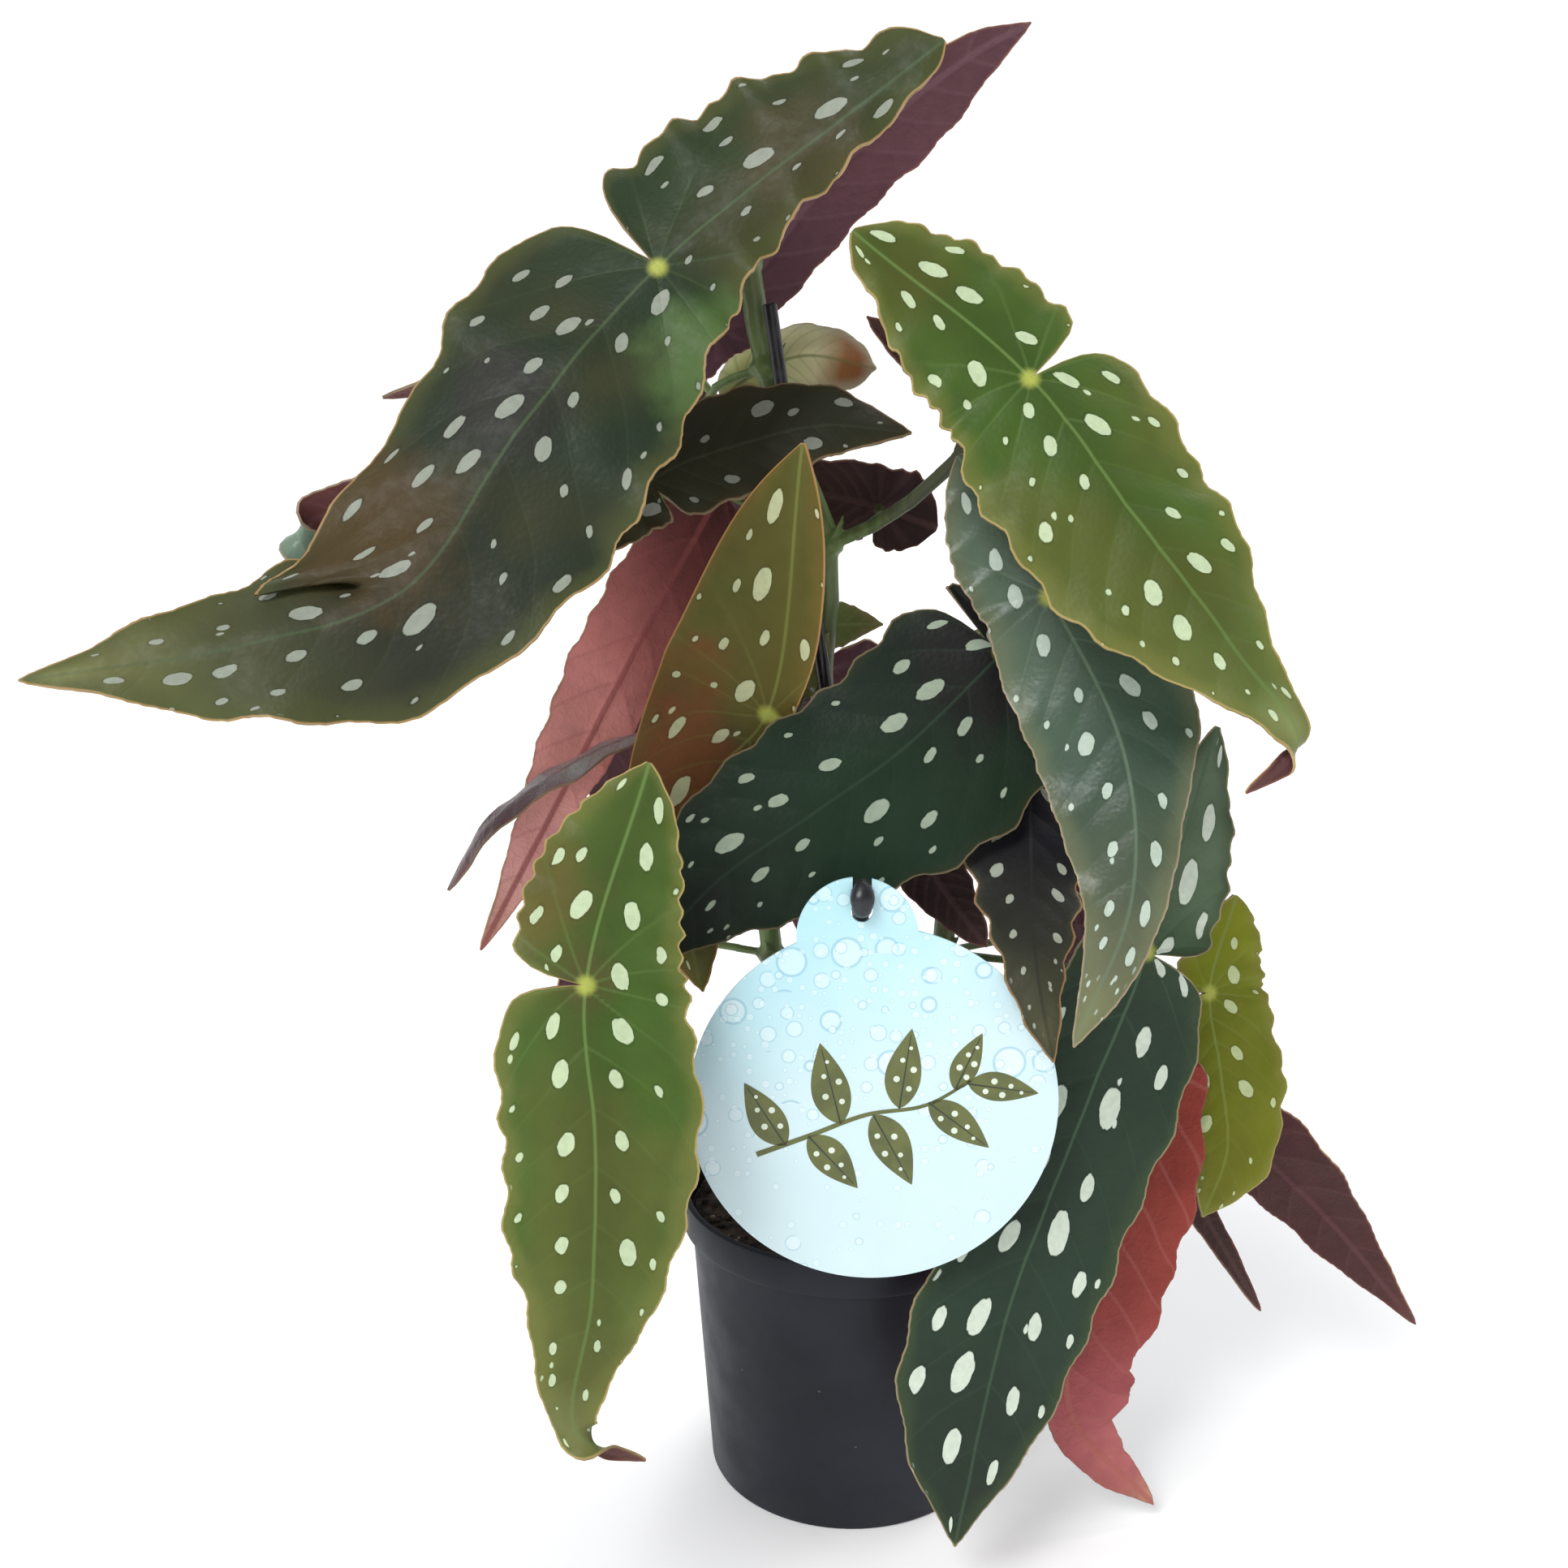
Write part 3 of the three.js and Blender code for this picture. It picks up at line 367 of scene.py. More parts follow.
def startLeaf(name, look):
    f = Surface(name, look["roughness"], look["shine"])
    grid = [f.node("Attribute", attribute_name=key).outputs["Fac"] for key in gridKeys]
    veins = f.split(f.node("UVMap", uv_map="veins").outputs[0])
    phase = f.maths("PINGPONG", f.maths("ADD", veins[0], 40), 0.5)
    f.ramp(f.maths("MULTIPLY_ADD", grid[0], 0.5, 0.5), look["stops"])
    return f, *grid, f.times(phase, veins[1])


def paintSpots(f, look, along, toMargin, fromRib):
    # silver spots in rows beside the midrib, smaller towards the margin, each with a thin dark ring
    flat = f.node("UVMap", uv_map="flat").outputs[0]
    ripple = f.node("TexNoise", {"Vector": flat, "Scale": 5.5, "Detail": 3}).outputs[1]
    shaken = {0: ripple, 1: (0.09, 0.09, 0), 2: flat}
    wobble = f.node("VectorMath", shaken, operation="MULTIPLY_ADD").outputs[0]
    cells = f.cells(1, wobble, 0.45, voronoi_dimensions="2D")
    pick = f.split(cells["Color"])
    fromMiddle = f.minus(f.split(cells["Position"])[0], (wideColumn + narrowColumn) / 2)
    row = f.minus(f.maths("ABSOLUTE", fromMiddle), (wideColumn - narrowColumn) / 2)
    kept = f.times(f.above(pick[1], 0.07), f.above(row, 0.3))
    radius = f.times(f.fade(pick[0], 0, 1, *look["size"]), kept)
    radius = f.times(radius, f.times(f.fade(row, 0.9, 1.1, 1, 0.66), f.fade(toMargin, 0.8, 6, 0.3, 1)))
    inside = f.minus(radius, cells["Distance"])
    spots = f.fade(inside, -0.006, 0.018)
    f.deepen(f.times(f.times(f.fade(inside, -0.055, -0.006), kept), 0.4), 0.45)
    # specks crowd near the tip
    fine = f.cells(3.3, wobble, 0.9, voronoi_dimensions="2D")
    crowd = f.fade(along, look["speckFrom"], 0.95, 0.99, 1 - 0.5 * look["specks"])
    speck = f.times(f.above(f.split(fine["Color"])[0], crowd), f.fade(fine["Distance"], 0.17, 0.25, 1, 0))
    clear = f.times(f.fade(toMargin, 0.8, 2.5), f.fade(fromRib, 1, 2.6))
    spots = f.maths("MAXIMUM", spots, f.times(speck, clear))
    shade = f.fade(f.noise(420, 3), 0.35, 0.7, 0, 0.25)
    f.paint(f.times(spots, 0.94), f.mix(shade, look["spot"], [c * 0.6 for c in look["spot"]]))


def leafUpper(name, look):
    f, along, toMargin, fromRib, fromHeart, veinGap = startLeaf(name + "Upper", look)
    # soft patches, tinted places, and another colour towards the margin
    f.paint(f.fade(f.noise(16, 2), 0.45, 0.66, 0, look["patchAmount"]), look["patch"])
    wander = f.times(f.noise(45, 2), look["edgeReach"] * 2)
    f.paint(f.fade(f.maths("DIVIDE", toMargin, wander), 0, 1, 0.7, 0), look["edge"])
    uneven = f.noise(60, 3)
    for center, reach, tint, amount in look["tints"]:
        f.paint(f.near(center, reach, uneven, amount), tint)
    f.deepen(f.fade(f.noise(130, 4), 0.3, 0.75, 0, 0.3), 0.72)
    f.deepen(f.fade(fromRib, 1, 16, look["nearRib"], 0), 0.62)
    # thin faint veins, a plain midrib line and a small bright spot at the heart
    line = f.times(f.fade(veinGap, 0.1, 0.8, 1, 0), f.fade(fromHeart, 6, 40, 0.30, 0.09))
    f.paint(line, look["vein"])
    f.paint(f.times(f.fade(fromRib, 0.2, 0.75, 0.75, 0), f.fade(along, 0.2, 1, 1, 0.5)), look["vein"])
    f.paint(f.fade(fromHeart, 1, 4.2, look["heart"], 0), heartColor)
    if look["size"]:
        paintSpots(f, look, along, toMargin, fromRib)
    # thin pale line right at the margin
    f.paint(f.fade(toMargin, 0.25, 0.85, 0.75, 0), look["margin"])
    grain = f.noise(260, 4)
    f.roughen(grain, look["roughness"] - 0.06, look["roughness"] + 0.08)
    pebbles = f.maths("ADD", f.times(f.cells(620)["Distance"], 0.5), grain)
    f.bump(f.minus(pebbles, f.times(line, 1.5)), 0.3, 0.0005)
    return f.done()


def leafUnder(name, look):
    f, _, toMargin, fromRib, _, veinGap = startLeaf(name + "Under", look)
    f.paint(f.fade(f.noise(26, 3), 0.42, 0.7, 0, look["darkAmount"]), look["dark"])
    f.deepen(f.fade(f.noise(170, 4), 0.35, 0.75, 0, 0.35), 0.65)
    f.paint(f.fade(veinGap, 0.2, 1.1, look["veinAmount"], 0), look["vein"])
    f.paint(f.fade(fromRib, 0.5, 1.5, 0.8, 0), look["vein"])
    f.paint(f.fade(toMargin, 0.2, 0.8, 0.4, 0), underMargin)
    grain = f.noise(300, 4)
    f.roughen(grain, look["roughness"] - 0.05, look["roughness"] + 0.08)
    net = f.fade(f.cells(330, feature="DISTANCE_TO_EDGE")["Distance"], 0, 0.2, 0.5, 0)
    f.bump(f.maths("ADD", net, grain), 0.35, 0.0005)
    return f.done()


def plainMix(name, roughness, scale, high, color, deep):
    f = Surface(name, roughness)
    f.color = f.mix(f.fade(f.noise(scale, 3), 0.35, high), color, deep)
    return f.done()


leafMaterials = {}
for lookName, look in upperLooks.items():
    leafMaterials[lookName] = leafUpper(lookName, {**plainUpper, **look})
    rimName, rimColor = lookName + "Rim", look["margin"]
    leafMaterials[rimName] = plainMix(rimName, 0.5, 60, 0.65, rimColor, [c * 0.5 for c in rimColor])
for lookName, look in underLooks.items():
    leafMaterials[lookName] = leafUnder(lookName, {**plainUnder, **look})
print("leaf finishes:", len(leafMaterials))


# leaves: midrib in mm from the back lobe's end past the heart (second point) to the tip

stations = [-1, -0.75, -0.45, -0.15, 0, 0.12, 0.3, 0.5, 0.7, 0.87, 1]
plainWide = [0.108, 0.17, 0.2, 0.22, 0.235, 0.24, 0.23, 0.155, 0.07]
plainNarrow = [0.095, 0.15, 0.16, 0.165, 0.17, 0.18, 0.17, 0.125, 0.06]
bladeSettings = {
    "endWidth": 0.7, "notchFloor": 1.2, "lobeNotch": 0.035, "bladeNotch": 0.018, "stepsPerSpan": 24,
    "scallop": 0.035, "scallopsPerWave": 2.3, "narrowPhase": 2.1, "fullRipple": 14, "plainSpan": 0.98,
    "thickness": 0.8, "toothDepth": 0.42, "toothLength": 5.2, "quilt": 0.25, "groove": 0.2, "rib": 1.0,
    "veinRib": 0.4, "swell": 0.9, "swellLength": 26, "rowWidth": 12.5, "rowLength": 1.35,
    "largeColumns": 40, "smallColumns": 26, "taperLength": 2.4, "smooth": 50,
}
plainLeaf = dict(
    rim=None, wing=1, large=False, footStalk=False, fold=6, ripple=1.2, waves=2, start=0, spacing=12,
    stretch=1.2, bluntEnd=1.6, twist=0, twistFrom=0.84, twistOver=0.1, frill=1, ease=0, easeTo=0,
    wide=None, narrow=None, pleat=None, trim=[(0, 1)])
leaves = {
    "leaf_upper_left": dict(
        slot="leaf_dark", upper="deepGreen", under="maroon", large=True, face=(-0.15, -1, 0.5), fold=9,
        ripple=3.2, waves=4.5, start=0.6, spacing=18, stretch=1, seed=3, bluntEnd=3,
        spine=[(22, -45, 481), (-60, -50, 419), (-98, -75, 374), (-129, -90, 331), (-171, -98, 317),
            (-235, -100, 307)], wide=[9, 14, 22, 28, 35, 42, 35, 24, 10],
        narrow=[20, 33, 37, 46, 44, 37, 33, 25, 11],
        pleat=dict(at=0.52, rise=0.3, fall=0.06, slide=34, lift=8, sink=9, reach=0.15, tuck=12)),
    "leaf_top_back": dict(
        slot="leaf_under", upper="deepGreen", under="maroon", face=(0.2, 1, 0.5), waves=3, spacing=14, seed=8,
        spine=[(-56, 7, 387), (-45, 9, 403), (-3, 7, 455), (34, 2, 484), (52, -2, 493)],
        wide=[7, 8, 10, 12, 13, 15, 16, 15, 8], narrow=[8, 10, 11, 12, 13, 14, 13, 10, 6]),
    "leaf_right": dict(
        slot="leaf_green", upper="freshGreen", under="wine", wing=-1, large=True, face=(0.2, -1, 0.4), fold=9,
        ripple=1.6, waves=4, start=1, spacing=13.5, seed=5, bluntEnd=2.6, twist=-175,
        spine=[(-4, -52, 429), (47, -62, 388), (75, -85, 350), (100, -102, 316), (116, -112, 292),
            (104, -108, 277)], wide=[12, 23, 27, 29, 34, 34, 30, 14, 5],
        narrow=[17, 24, 26, 30, 29, 28, 24, 10, 4]),
    "leaf_grey_right": dict(
        slot="leaf_dark", upper="greySheen", under="wine", wing=-1, large=True, face=(-0.15, -1, 0.4), fold=8,
        ripple=1.8, waves=4, start=2, spacing=12.5, stretch=1.35, seed=11, frill=0.4,
        spine=[(29, -40, 365), (56, -52, 324), (77, -72, 280), (78, -88, 240), (61, -98, 198)],
        wide=[13, 20, 21, 21, 25, 26, 23, 14, 6], narrow=[10, 14, 16, 17, 22, 26, 15, 10, 7]),
    "leaf_lower_left": dict(
        slot="leaf_green", upper="freshGreen", under="wine", large=True, face=(-0.05, -1, 0.3), fold=9,
        ripple=1.8, waves=4, start=0.4, spacing=13, stretch=1.3, seed=2, twist=175,
        spine=[(-62, -88, 281), (-81, -98, 217), (-78, -110, 175), (-80, -112, 125), (-86, -108, 77),
            (-66, -104, 65)], wide=[14, 22, 27, 30, 31, 30, 23, 12, 6],
        narrow=[15, 23, 24, 26, 28, 28, 26, 15, 6]),
    "leaf_lower_right": dict(
        slot="leaf_dark", upper="forestGreen", under="coralBacklit", wing=-1, large=True, face=(0.15, -1, 0.2),
        fold=7, ripple=1.6, waves=3.5, start=0.2, spacing=16, stretch=1.5, seed=7,
        spine=[(115, -28, 279), (92, -48, 210), (70, -58, 153), (48, -72, 96), (31, -90, 24)],
        wide=[7, 9, 14, 20, 26, 25, 26, 30, 21], narrow=[11, 19, 21, 24, 30, 32, 31, 28, 15]),
    "leaf_lime_right": dict(
        slot="leaf_lime", upper="lime", under="coralBacklit", face=(0.3, -1, 0.3), fold=7, waves=3, stretch=1.1,
        seed=13, spine=[(131, -4, 215), (123, -8, 181), (127, -14, 154), (129, -20, 128), (121, -24, 105)],
        wide=[12, 18, 22, 23, 25, 25, 25, 20, 12], narrow=[7, 11, 13, 14, 16, 16, 15, 12, 7]),
    "leaf_rose_right": dict(
        slot="leaf_rose", upper="forestGreen", under="coralBacklit", wing=-1, large=True, face=(-0.1, 1, 0.1),
        fold=5, ripple=1.6, waves=3.5, spacing=14, stretch=1.3, seed=17,
        spine=[(98, -22, 186), (95, -24, 163), (86, -30, 121), (77, -36, 82), (75, -42, 41), (105, -44, 6)],
        wide=[8, 13, 20, 25, 29, 32, 29, 25, 12], narrow=[8, 10, 9, 9, 10, 11, 10, 9, 8],
        # torn wide margin: how much of the half width is left at each place
        trim=[(0, 1), (0.5, 1), (0.645, 0.82), (0.69, 0.98), (0.783, 0.94), (0.795, 0.6), (0.85, 0.68),
            (0.872, 0.58), (0.94, 0.72), (1, 0.9)]),
    "leaf_maroon_right": dict(
        slot="leaf_under", upper="deepGreen", under="wine", wing=-1, face=(0.2, 1, 0.2), ripple=1, waves=3,
        start=1, spacing=14, seed=19,
        spine=[(88, 10, 176), (100, 12, 158), (130, 16, 128), (154, 18, 107), (184, 22, 76), (219, 28, 33)],
        wide=[10, 13, 15, 17, 19, 20, 19, 11, 5], narrow=[8, 11, 12, 13, 14, 15, 15, 12, 6]),
    "leaf_dark_sliver": dict(
        slot="leaf_under", upper="umber", under="plum", face=(-0.5, 1, 0.2), fold=14, ripple=0.6, spacing=10,
        stretch=1.5, seed=21, spine=[(100, 4, 150), (107, 4, 134), (124, 4, 100), (152, 5, 52)],
        wide=[5, 6, 7, 7, 7, 7, 6, 4, 2.5], narrow=[4, 5, 5, 6, 6, 6, 5, 4, 2.5]),
    "leaf_dark_tip": dict(
        slot="leaf_brown", upper="blackBrown", under="wine", wing=-1, face=(0, -1, 0.3), fold=8, waves=3,
        start=2.4, spacing=11, seed=23, frill=2.4,
        spine=[(55, -22, 276), (56, -26, 260), (54, -50, 236), (53, -78, 212), (57, -88, 189)],
        wide=[7, 10, 12, 14, 20, 20, 15, 10, 6], narrow=[7, 9, 10, 11, 14, 16, 14, 9, 5]),
    "leaf_middle": dict(
        slot="leaf_dark", upper="nightGreen", under="maroon", large=True, face=(0, -1, 0.3), ripple=1.4,
        waves=3.5, start=0.8, spacing=19, stretch=1.1, seed=29,
        spine=[(58, -30, 316), (45, -34, 304), (14, -42, 275), (-15, -48, 255), (-45, -52, 234),
            (-68, -54, 208)], wide=[7, 10, 13, 18, 38, 40, 32, 24, 13],
        narrow=[14, 22, 28, 30, 31, 30, 30, 26, 13]),
    "leaf_olive": dict(
        slot="leaf_lime", upper="amber", under="roseBacklit", wing=-1, large=True, face=(-0.1, -1, 0.25), ripple=1.6,
        waves=5, start=0.3, spacing=15, stretch=1.35, seed=31, ease=60, easeTo=0.5,
        spine=[(-18, -50, 369), (-29, -28, 283), (-46, -26, 262), (-57, -30, 228), (-50, -36, 192)],
        wide=[18, 30, 38, 40, 38, 30, 22, 15, 8], narrow=[9, 11, 11, 11, 13, 15, 15, 12, 8]),
    "leaf_rose_left": dict(
        slot="leaf_rose", upper="deepGreen", under="roseBacklit", large=True, face=(-0.2, 1, 0.3), ripple=1.4,
        waves=5, start=0.9, spacing=14, stretch=1.4, seed=37,
        spine=[(-32, 8, 366), (-44, 8, 351), (-69, 0, 307), (-98, -14, 252), (-123, -32, 205)],
        wide=[8, 11, 13, 15, 17, 20, 18, 12, 5], narrow=[7, 10, 12, 12, 13, 15, 12, 7, 5]),
    "leaf_edge_left": dict(
        slot="leaf_under", upper="pearlSheen", under="pearlSheen", rim="umber", face=(-0.25, -0.1, 1), fold=10,
        ripple=1.4, waves=4, spacing=9, stretch=1.5, seed=41,
        spine=[(-48, -2, 276), (-60, -4, 275), (-90, -24, 267), (-116, -44, 251), (-129, -50, 231)],
        wide=[3, 3, 4, 4, 4, 7, 8, 6, 4], narrow=[3, 3, 4, 4, 4, 7, 7, 5, 3]),
    "leaf_centre_back": dict(
        slot="leaf_brown", upper="umber", under="wine", face=(0, -1, 0.7), waves=3, start=0.5, spacing=13,
        stretch=1.1, seed=43,
        spine=[(-83, -40, 334), (-64, -36, 357), (-40, -31, 367), (-13, -27, 373), (16, -24, 371)],
        wide=[9, 15, 16, 17, 18, 20, 19, 15, 8], narrow=[6, 11, 14, 16, 17, 17, 15, 10, 5]),
    "leaf_plum": dict(
        slot="leaf_under", upper="umber", under="plum", face=(0.1, 1, 0.2), fold=5, ripple=1, stretch=1.1,
        seed=47, spine=[(28, 16, 338), (8, 16, 345), (-14, 17, 350), (-38, 20, 350)],
        wide=[10, 15, 15, 14, 14, 13, 11, 8, 5], narrow=[9, 13, 13, 13, 13, 12, 10, 8, 5]),
    "leaf_small_maroon": dict(
        slot="leaf_under", upper="umber", under="plum", face=(-0.3, 1, 0.2), fold=10, ripple=0.5, spacing=9,
        seed=53, spine=[(40, -20, 372), (35, -20, 378), (16, -18, 394), (2, -20, 406)],
        wide=[4, 5, 5, 5, 5.5, 5.5, 5, 4, 2.5], narrow=[4, 5, 5, 5, 5, 5, 5, 4, 2.5]),
    "leaf_curled_left": dict(
        slot="leaf_under", upper="tealSheen", under="claret", face=(-0.1, 1, 0.6), fold=12, ripple=1, start=0.5,
        spacing=10, seed=59, twist=170, twistFrom=0.6, twistOver=0.16,
        spine=[(-98, -44, 362), (-114, -48, 359), (-141, -56, 353), (-165, -62, 345), (-152, -67, 322)],
        wide=[5, 7, 8, 9, 11, 12, 10, 7, 4], narrow=[5, 6, 7, 8, 10, 12, 10, 7, 4]),
    "leaf_tip_left": dict(
        slot="leaf_under", upper="umber", under="claret", face=(-0.2, 0.6, 1), fold=10, ripple=0.8, spacing=9,
        seed=61, spine=[(-75, -22, 396), (-90, -24, 394), (-116, -28, 390), (-145, -34, 382)],
        wide=[4, 6, 7, 7, 8, 8, 7, 5, 3], narrow=[4, 5, 6, 6, 7, 7, 6, 5, 3]),
    "leaf_behind_tag": dict(
        slot="leaf_under", upper="umber", under="plum", face=(0.1, 1, 0.1), ripple=0.8, waves=3, spacing=11,
        seed=67, spine=[(6, -20, 262), (14, -20, 249), (27, -24, 227), (43, -32, 206)],
        wide=[6, 9, 10, 11, 13, 13, 11, 8, 5], narrow=[6, 8, 9, 10, 11, 12, 11, 8, 5]),
    "young_leaf_top": dict(
        slot="young_leaf", upper="cream", under="roseBacklit", footStalk=True, face=(0, -1, 0.3), fold=24,
        ripple=0.6, stretch=1, seed=71, spine=[(-44, 15, 380), (-37, 15, 386), (-18, 17, 394), (7, 18, 390)],
        wide=[6, 8, 10, 11, 12, 13, 13, 12, 9], narrow=[5, 7, 8, 7, 9, 10, 10, 10, 8]),
    "joint_bract": dict(
        slot="leaf_lime", upper="sprout", under="roseBacklit", footStalk=True, face=(0, -1, 0.2), fold=12,
        ripple=0.4, stretch=1, seed=73, spine=[(-13, 9, 306), (-8, 10, 306), (0, 11, 306), (10, 11, 306)],
        wide=[5, 7, 8, 9, 8.5, 7.5, 6, 4, 2], narrow=[5, 7, 8, 8, 8, 7, 5, 3, 1.5]),
    "young_leaf_middle": dict(
        slot="leaf_lime", upper="sprout", under="roseBacklit", footStalk=True, face=(0, -1, 0.2), fold=14,
        ripple=0.4, stretch=1, seed=79, spine=[(-18, -7, 284), (-17, -7, 288), (-14, -7, 294), (-9, -8, 306)],
        wide=[3, 4, 4.5, 5, 5, 5, 4.5, 3, 1.5], narrow=[3, 4, 4, 3, 4.5, 4.5, 4, 3, 1.5]),
}

plainFar = dict(slot="leaf_green", upper="freshGreen", under="maroon", large=True, fold=9, ripple=2,
                waves=3.5, start=0.7, spacing=15)
farLeaves = {
    "leaf_far_top": dict(
        face=(-0.3, 1, 0.6), seed=83, spine=[(-66, 32, 424), (-62, 38, 400), (-70, 58, 366), (-84, 70, 326)]),
    "leaf_far_left": dict(
        upper="forestGreen", wing=-1, face=(-0.4, 1, 0.6), seed=89,
        spine=[(-30, 40, 350), (-50, 48, 320), (-84, 74, 274), (-96, 88, 216)]),
    "leaf_far_right": dict(
        upper="forestGreen", face=(0.4, 1, 0.6), seed=97,
        spine=[(52, 30, 348), (66, 42, 316), (90, 66, 272), (100, 84, 214)]),
    "leaf_far_middle": dict(
        face=(0, 1, 0.5), seed=101, spine=[(6, 42, 296), (4, 54, 270), (-8, 82, 220), (-14, 96, 160)]),
    "leaf_far_low_left": dict(
        wing=-1, face=(-0.4, 1, 0.5), seed=103,
        spine=[(-78, 36, 226), (-88, 46, 198), (-94, 72, 148), (-90, 84, 100)]),
    "leaf_far_low_right": dict(
        face=(0.4, 1, 0.5), seed=107, spine=[(72, 36, 226), (84, 46, 198), (96, 70, 148), (98, 82, 98)]),
}
leaves.update({name: {**plainFar, **leaf} for name, leaf in farLeaves.items()})
leaves = {name: {**plainLeaf, **leaf} for name, leaf in leaves.items()}


def smoothPath(points, stepsPerSpan):
    corners = [Vector(p) for p in points]
    corners = [corners[0] * 2 - corners[1], *corners, corners[-1] * 2 - corners[-2]]
    path = []
    for i in range(1, len(corners) - 2):
        p0, p1, p2, p3 = corners[i - 1:i + 3]
        d0, d1, d2 = ((b - a).length ** 0.5 for a, b in ((p0, p1), (p1, p2), (p2, p3)))
        t1 = ((p1 - p0) / d0 - (p2 - p0) / (d0 + d1) + (p2 - p1) / d1) * d1
        t2 = ((p2 - p1) / d1 - (p3 - p1) / (d1 + d2) + (p3 - p2) / d2) * d1
        for k in range(stepsPerSpan):
            t = k / stepsPerSpan
            bend = (3 * (p2 - p1) - 2 * t1 - t2) * t * t
            path.append(p1 + t1 * t + bend + (2 * (p1 - p2) + t1 + t2) * t ** 3)
    path.append(corners[-2])
    return path


def midribFrames(leaf):
    heart = bladeSettings["stepsPerSpan"]
    points = smoothPath(leaf["spine"], heart)
    count = len(points)
    arc = [0]
    for a, b in zip(points, points[1:]):
        arc.append(arc[-1] + (b - a).length)
    tangents = [(points[min(i + 1, count - 1)] - points[max(i - 1, 0)]).normalized() for i in range(count)]
    square = lambda v, t: (v - t * v.dot(t)).normalized()
    normals = [None] * count
    normals[heart] = square(Vector(leaf["face"]), tangents[heart])
    for i in range(heart + 1, count):
        normals[i] = square(normals[i - 1], tangents[i])
    for i in range(heart - 1, -1, -1):
        normals[i] = square(normals[i + 1], tangents[i])
    return points, arc, tangents, normals, arc[heart]


def spanAt(places, at):
    i = int(np.clip(np.searchsorted(places, at) - 1, 0, len(places) - 2))
    return i, (at - places[i]) / (places[i + 1] - places[i])


def frameAt(frames, along):
    points, arc, tangents, normals, _ = frames
    i, share = spanAt(arc, along)
    point = points[i].lerp(points[i + 1], share)
    tangent = tangents[i].lerp(tangents[i + 1], share).normalized()
    normal = normals[i].lerp(normals[i + 1], share)
    return point, tangent, (normal - tangent * normal.dot(tangent)).normalized()


def readWidth(widths, s, bluntEnd):
    i, t = spanAt(stations, s)

    def slope(k):
        a, b = max(k - 1, 0), min(k + 1, len(stations) - 1)
        return (bluntEnd if k == 0 else 1) * (widths[b] - widths[a]) / (stations[b] - stations[a])

    h = stations[i + 1] - stations[i]
    value = (2 * t ** 3 - 3 * t ** 2 + 1) * widths[i] + (t ** 3 - 2 * t ** 2 + t) * h * slope(i)
    value += (3 * t ** 2 - 2 * t ** 3) * widths[i + 1] + (t ** 3 - t ** 2) * h * slope(i + 1)
    return max(value, bladeSettings["endWidth"])


def narrowWidth(widths, s, bluntEnd):
    reach = bladeSettings["lobeNotch" if s < 0 else "bladeNotch"]
    opened = readWidth(widths, s, bluntEnd) * (1 - math.exp(-abs(s) / reach))
    return max(opened, min(bladeSettings["notchFloor"], widths[1]))


def smoothStep(x):
    x = min(max(x, 0), 1)
    return x * x * (3 - 2 * x)


def pleatShift(p, s, size, across):
    # the narrow half slides over the blade beyond it
    hang = np.where(across < 0, np.clip((size - p["reach"]) / (1 - p["reach"]), 0, 1) ** 1.2, 0)
    over = smoothStep((s - p["at"] + p["rise"]) / p["rise"])
    down = smoothStep((s - p["at"]) / p["fall"])
    back = down * (1 - smoothStep((s - p["at"] - p["fall"]) / 0.3))
    tucked = math.exp(-((s - p["at"] - p["fall"] * 0.8) / 0.05) ** 2)
    return (hang * p["slide"] * over * (1 - down),
            hang * (p["lift"] * over * (1 - down) - p["sink"] * back), hang * p["tuck"] * tucked)


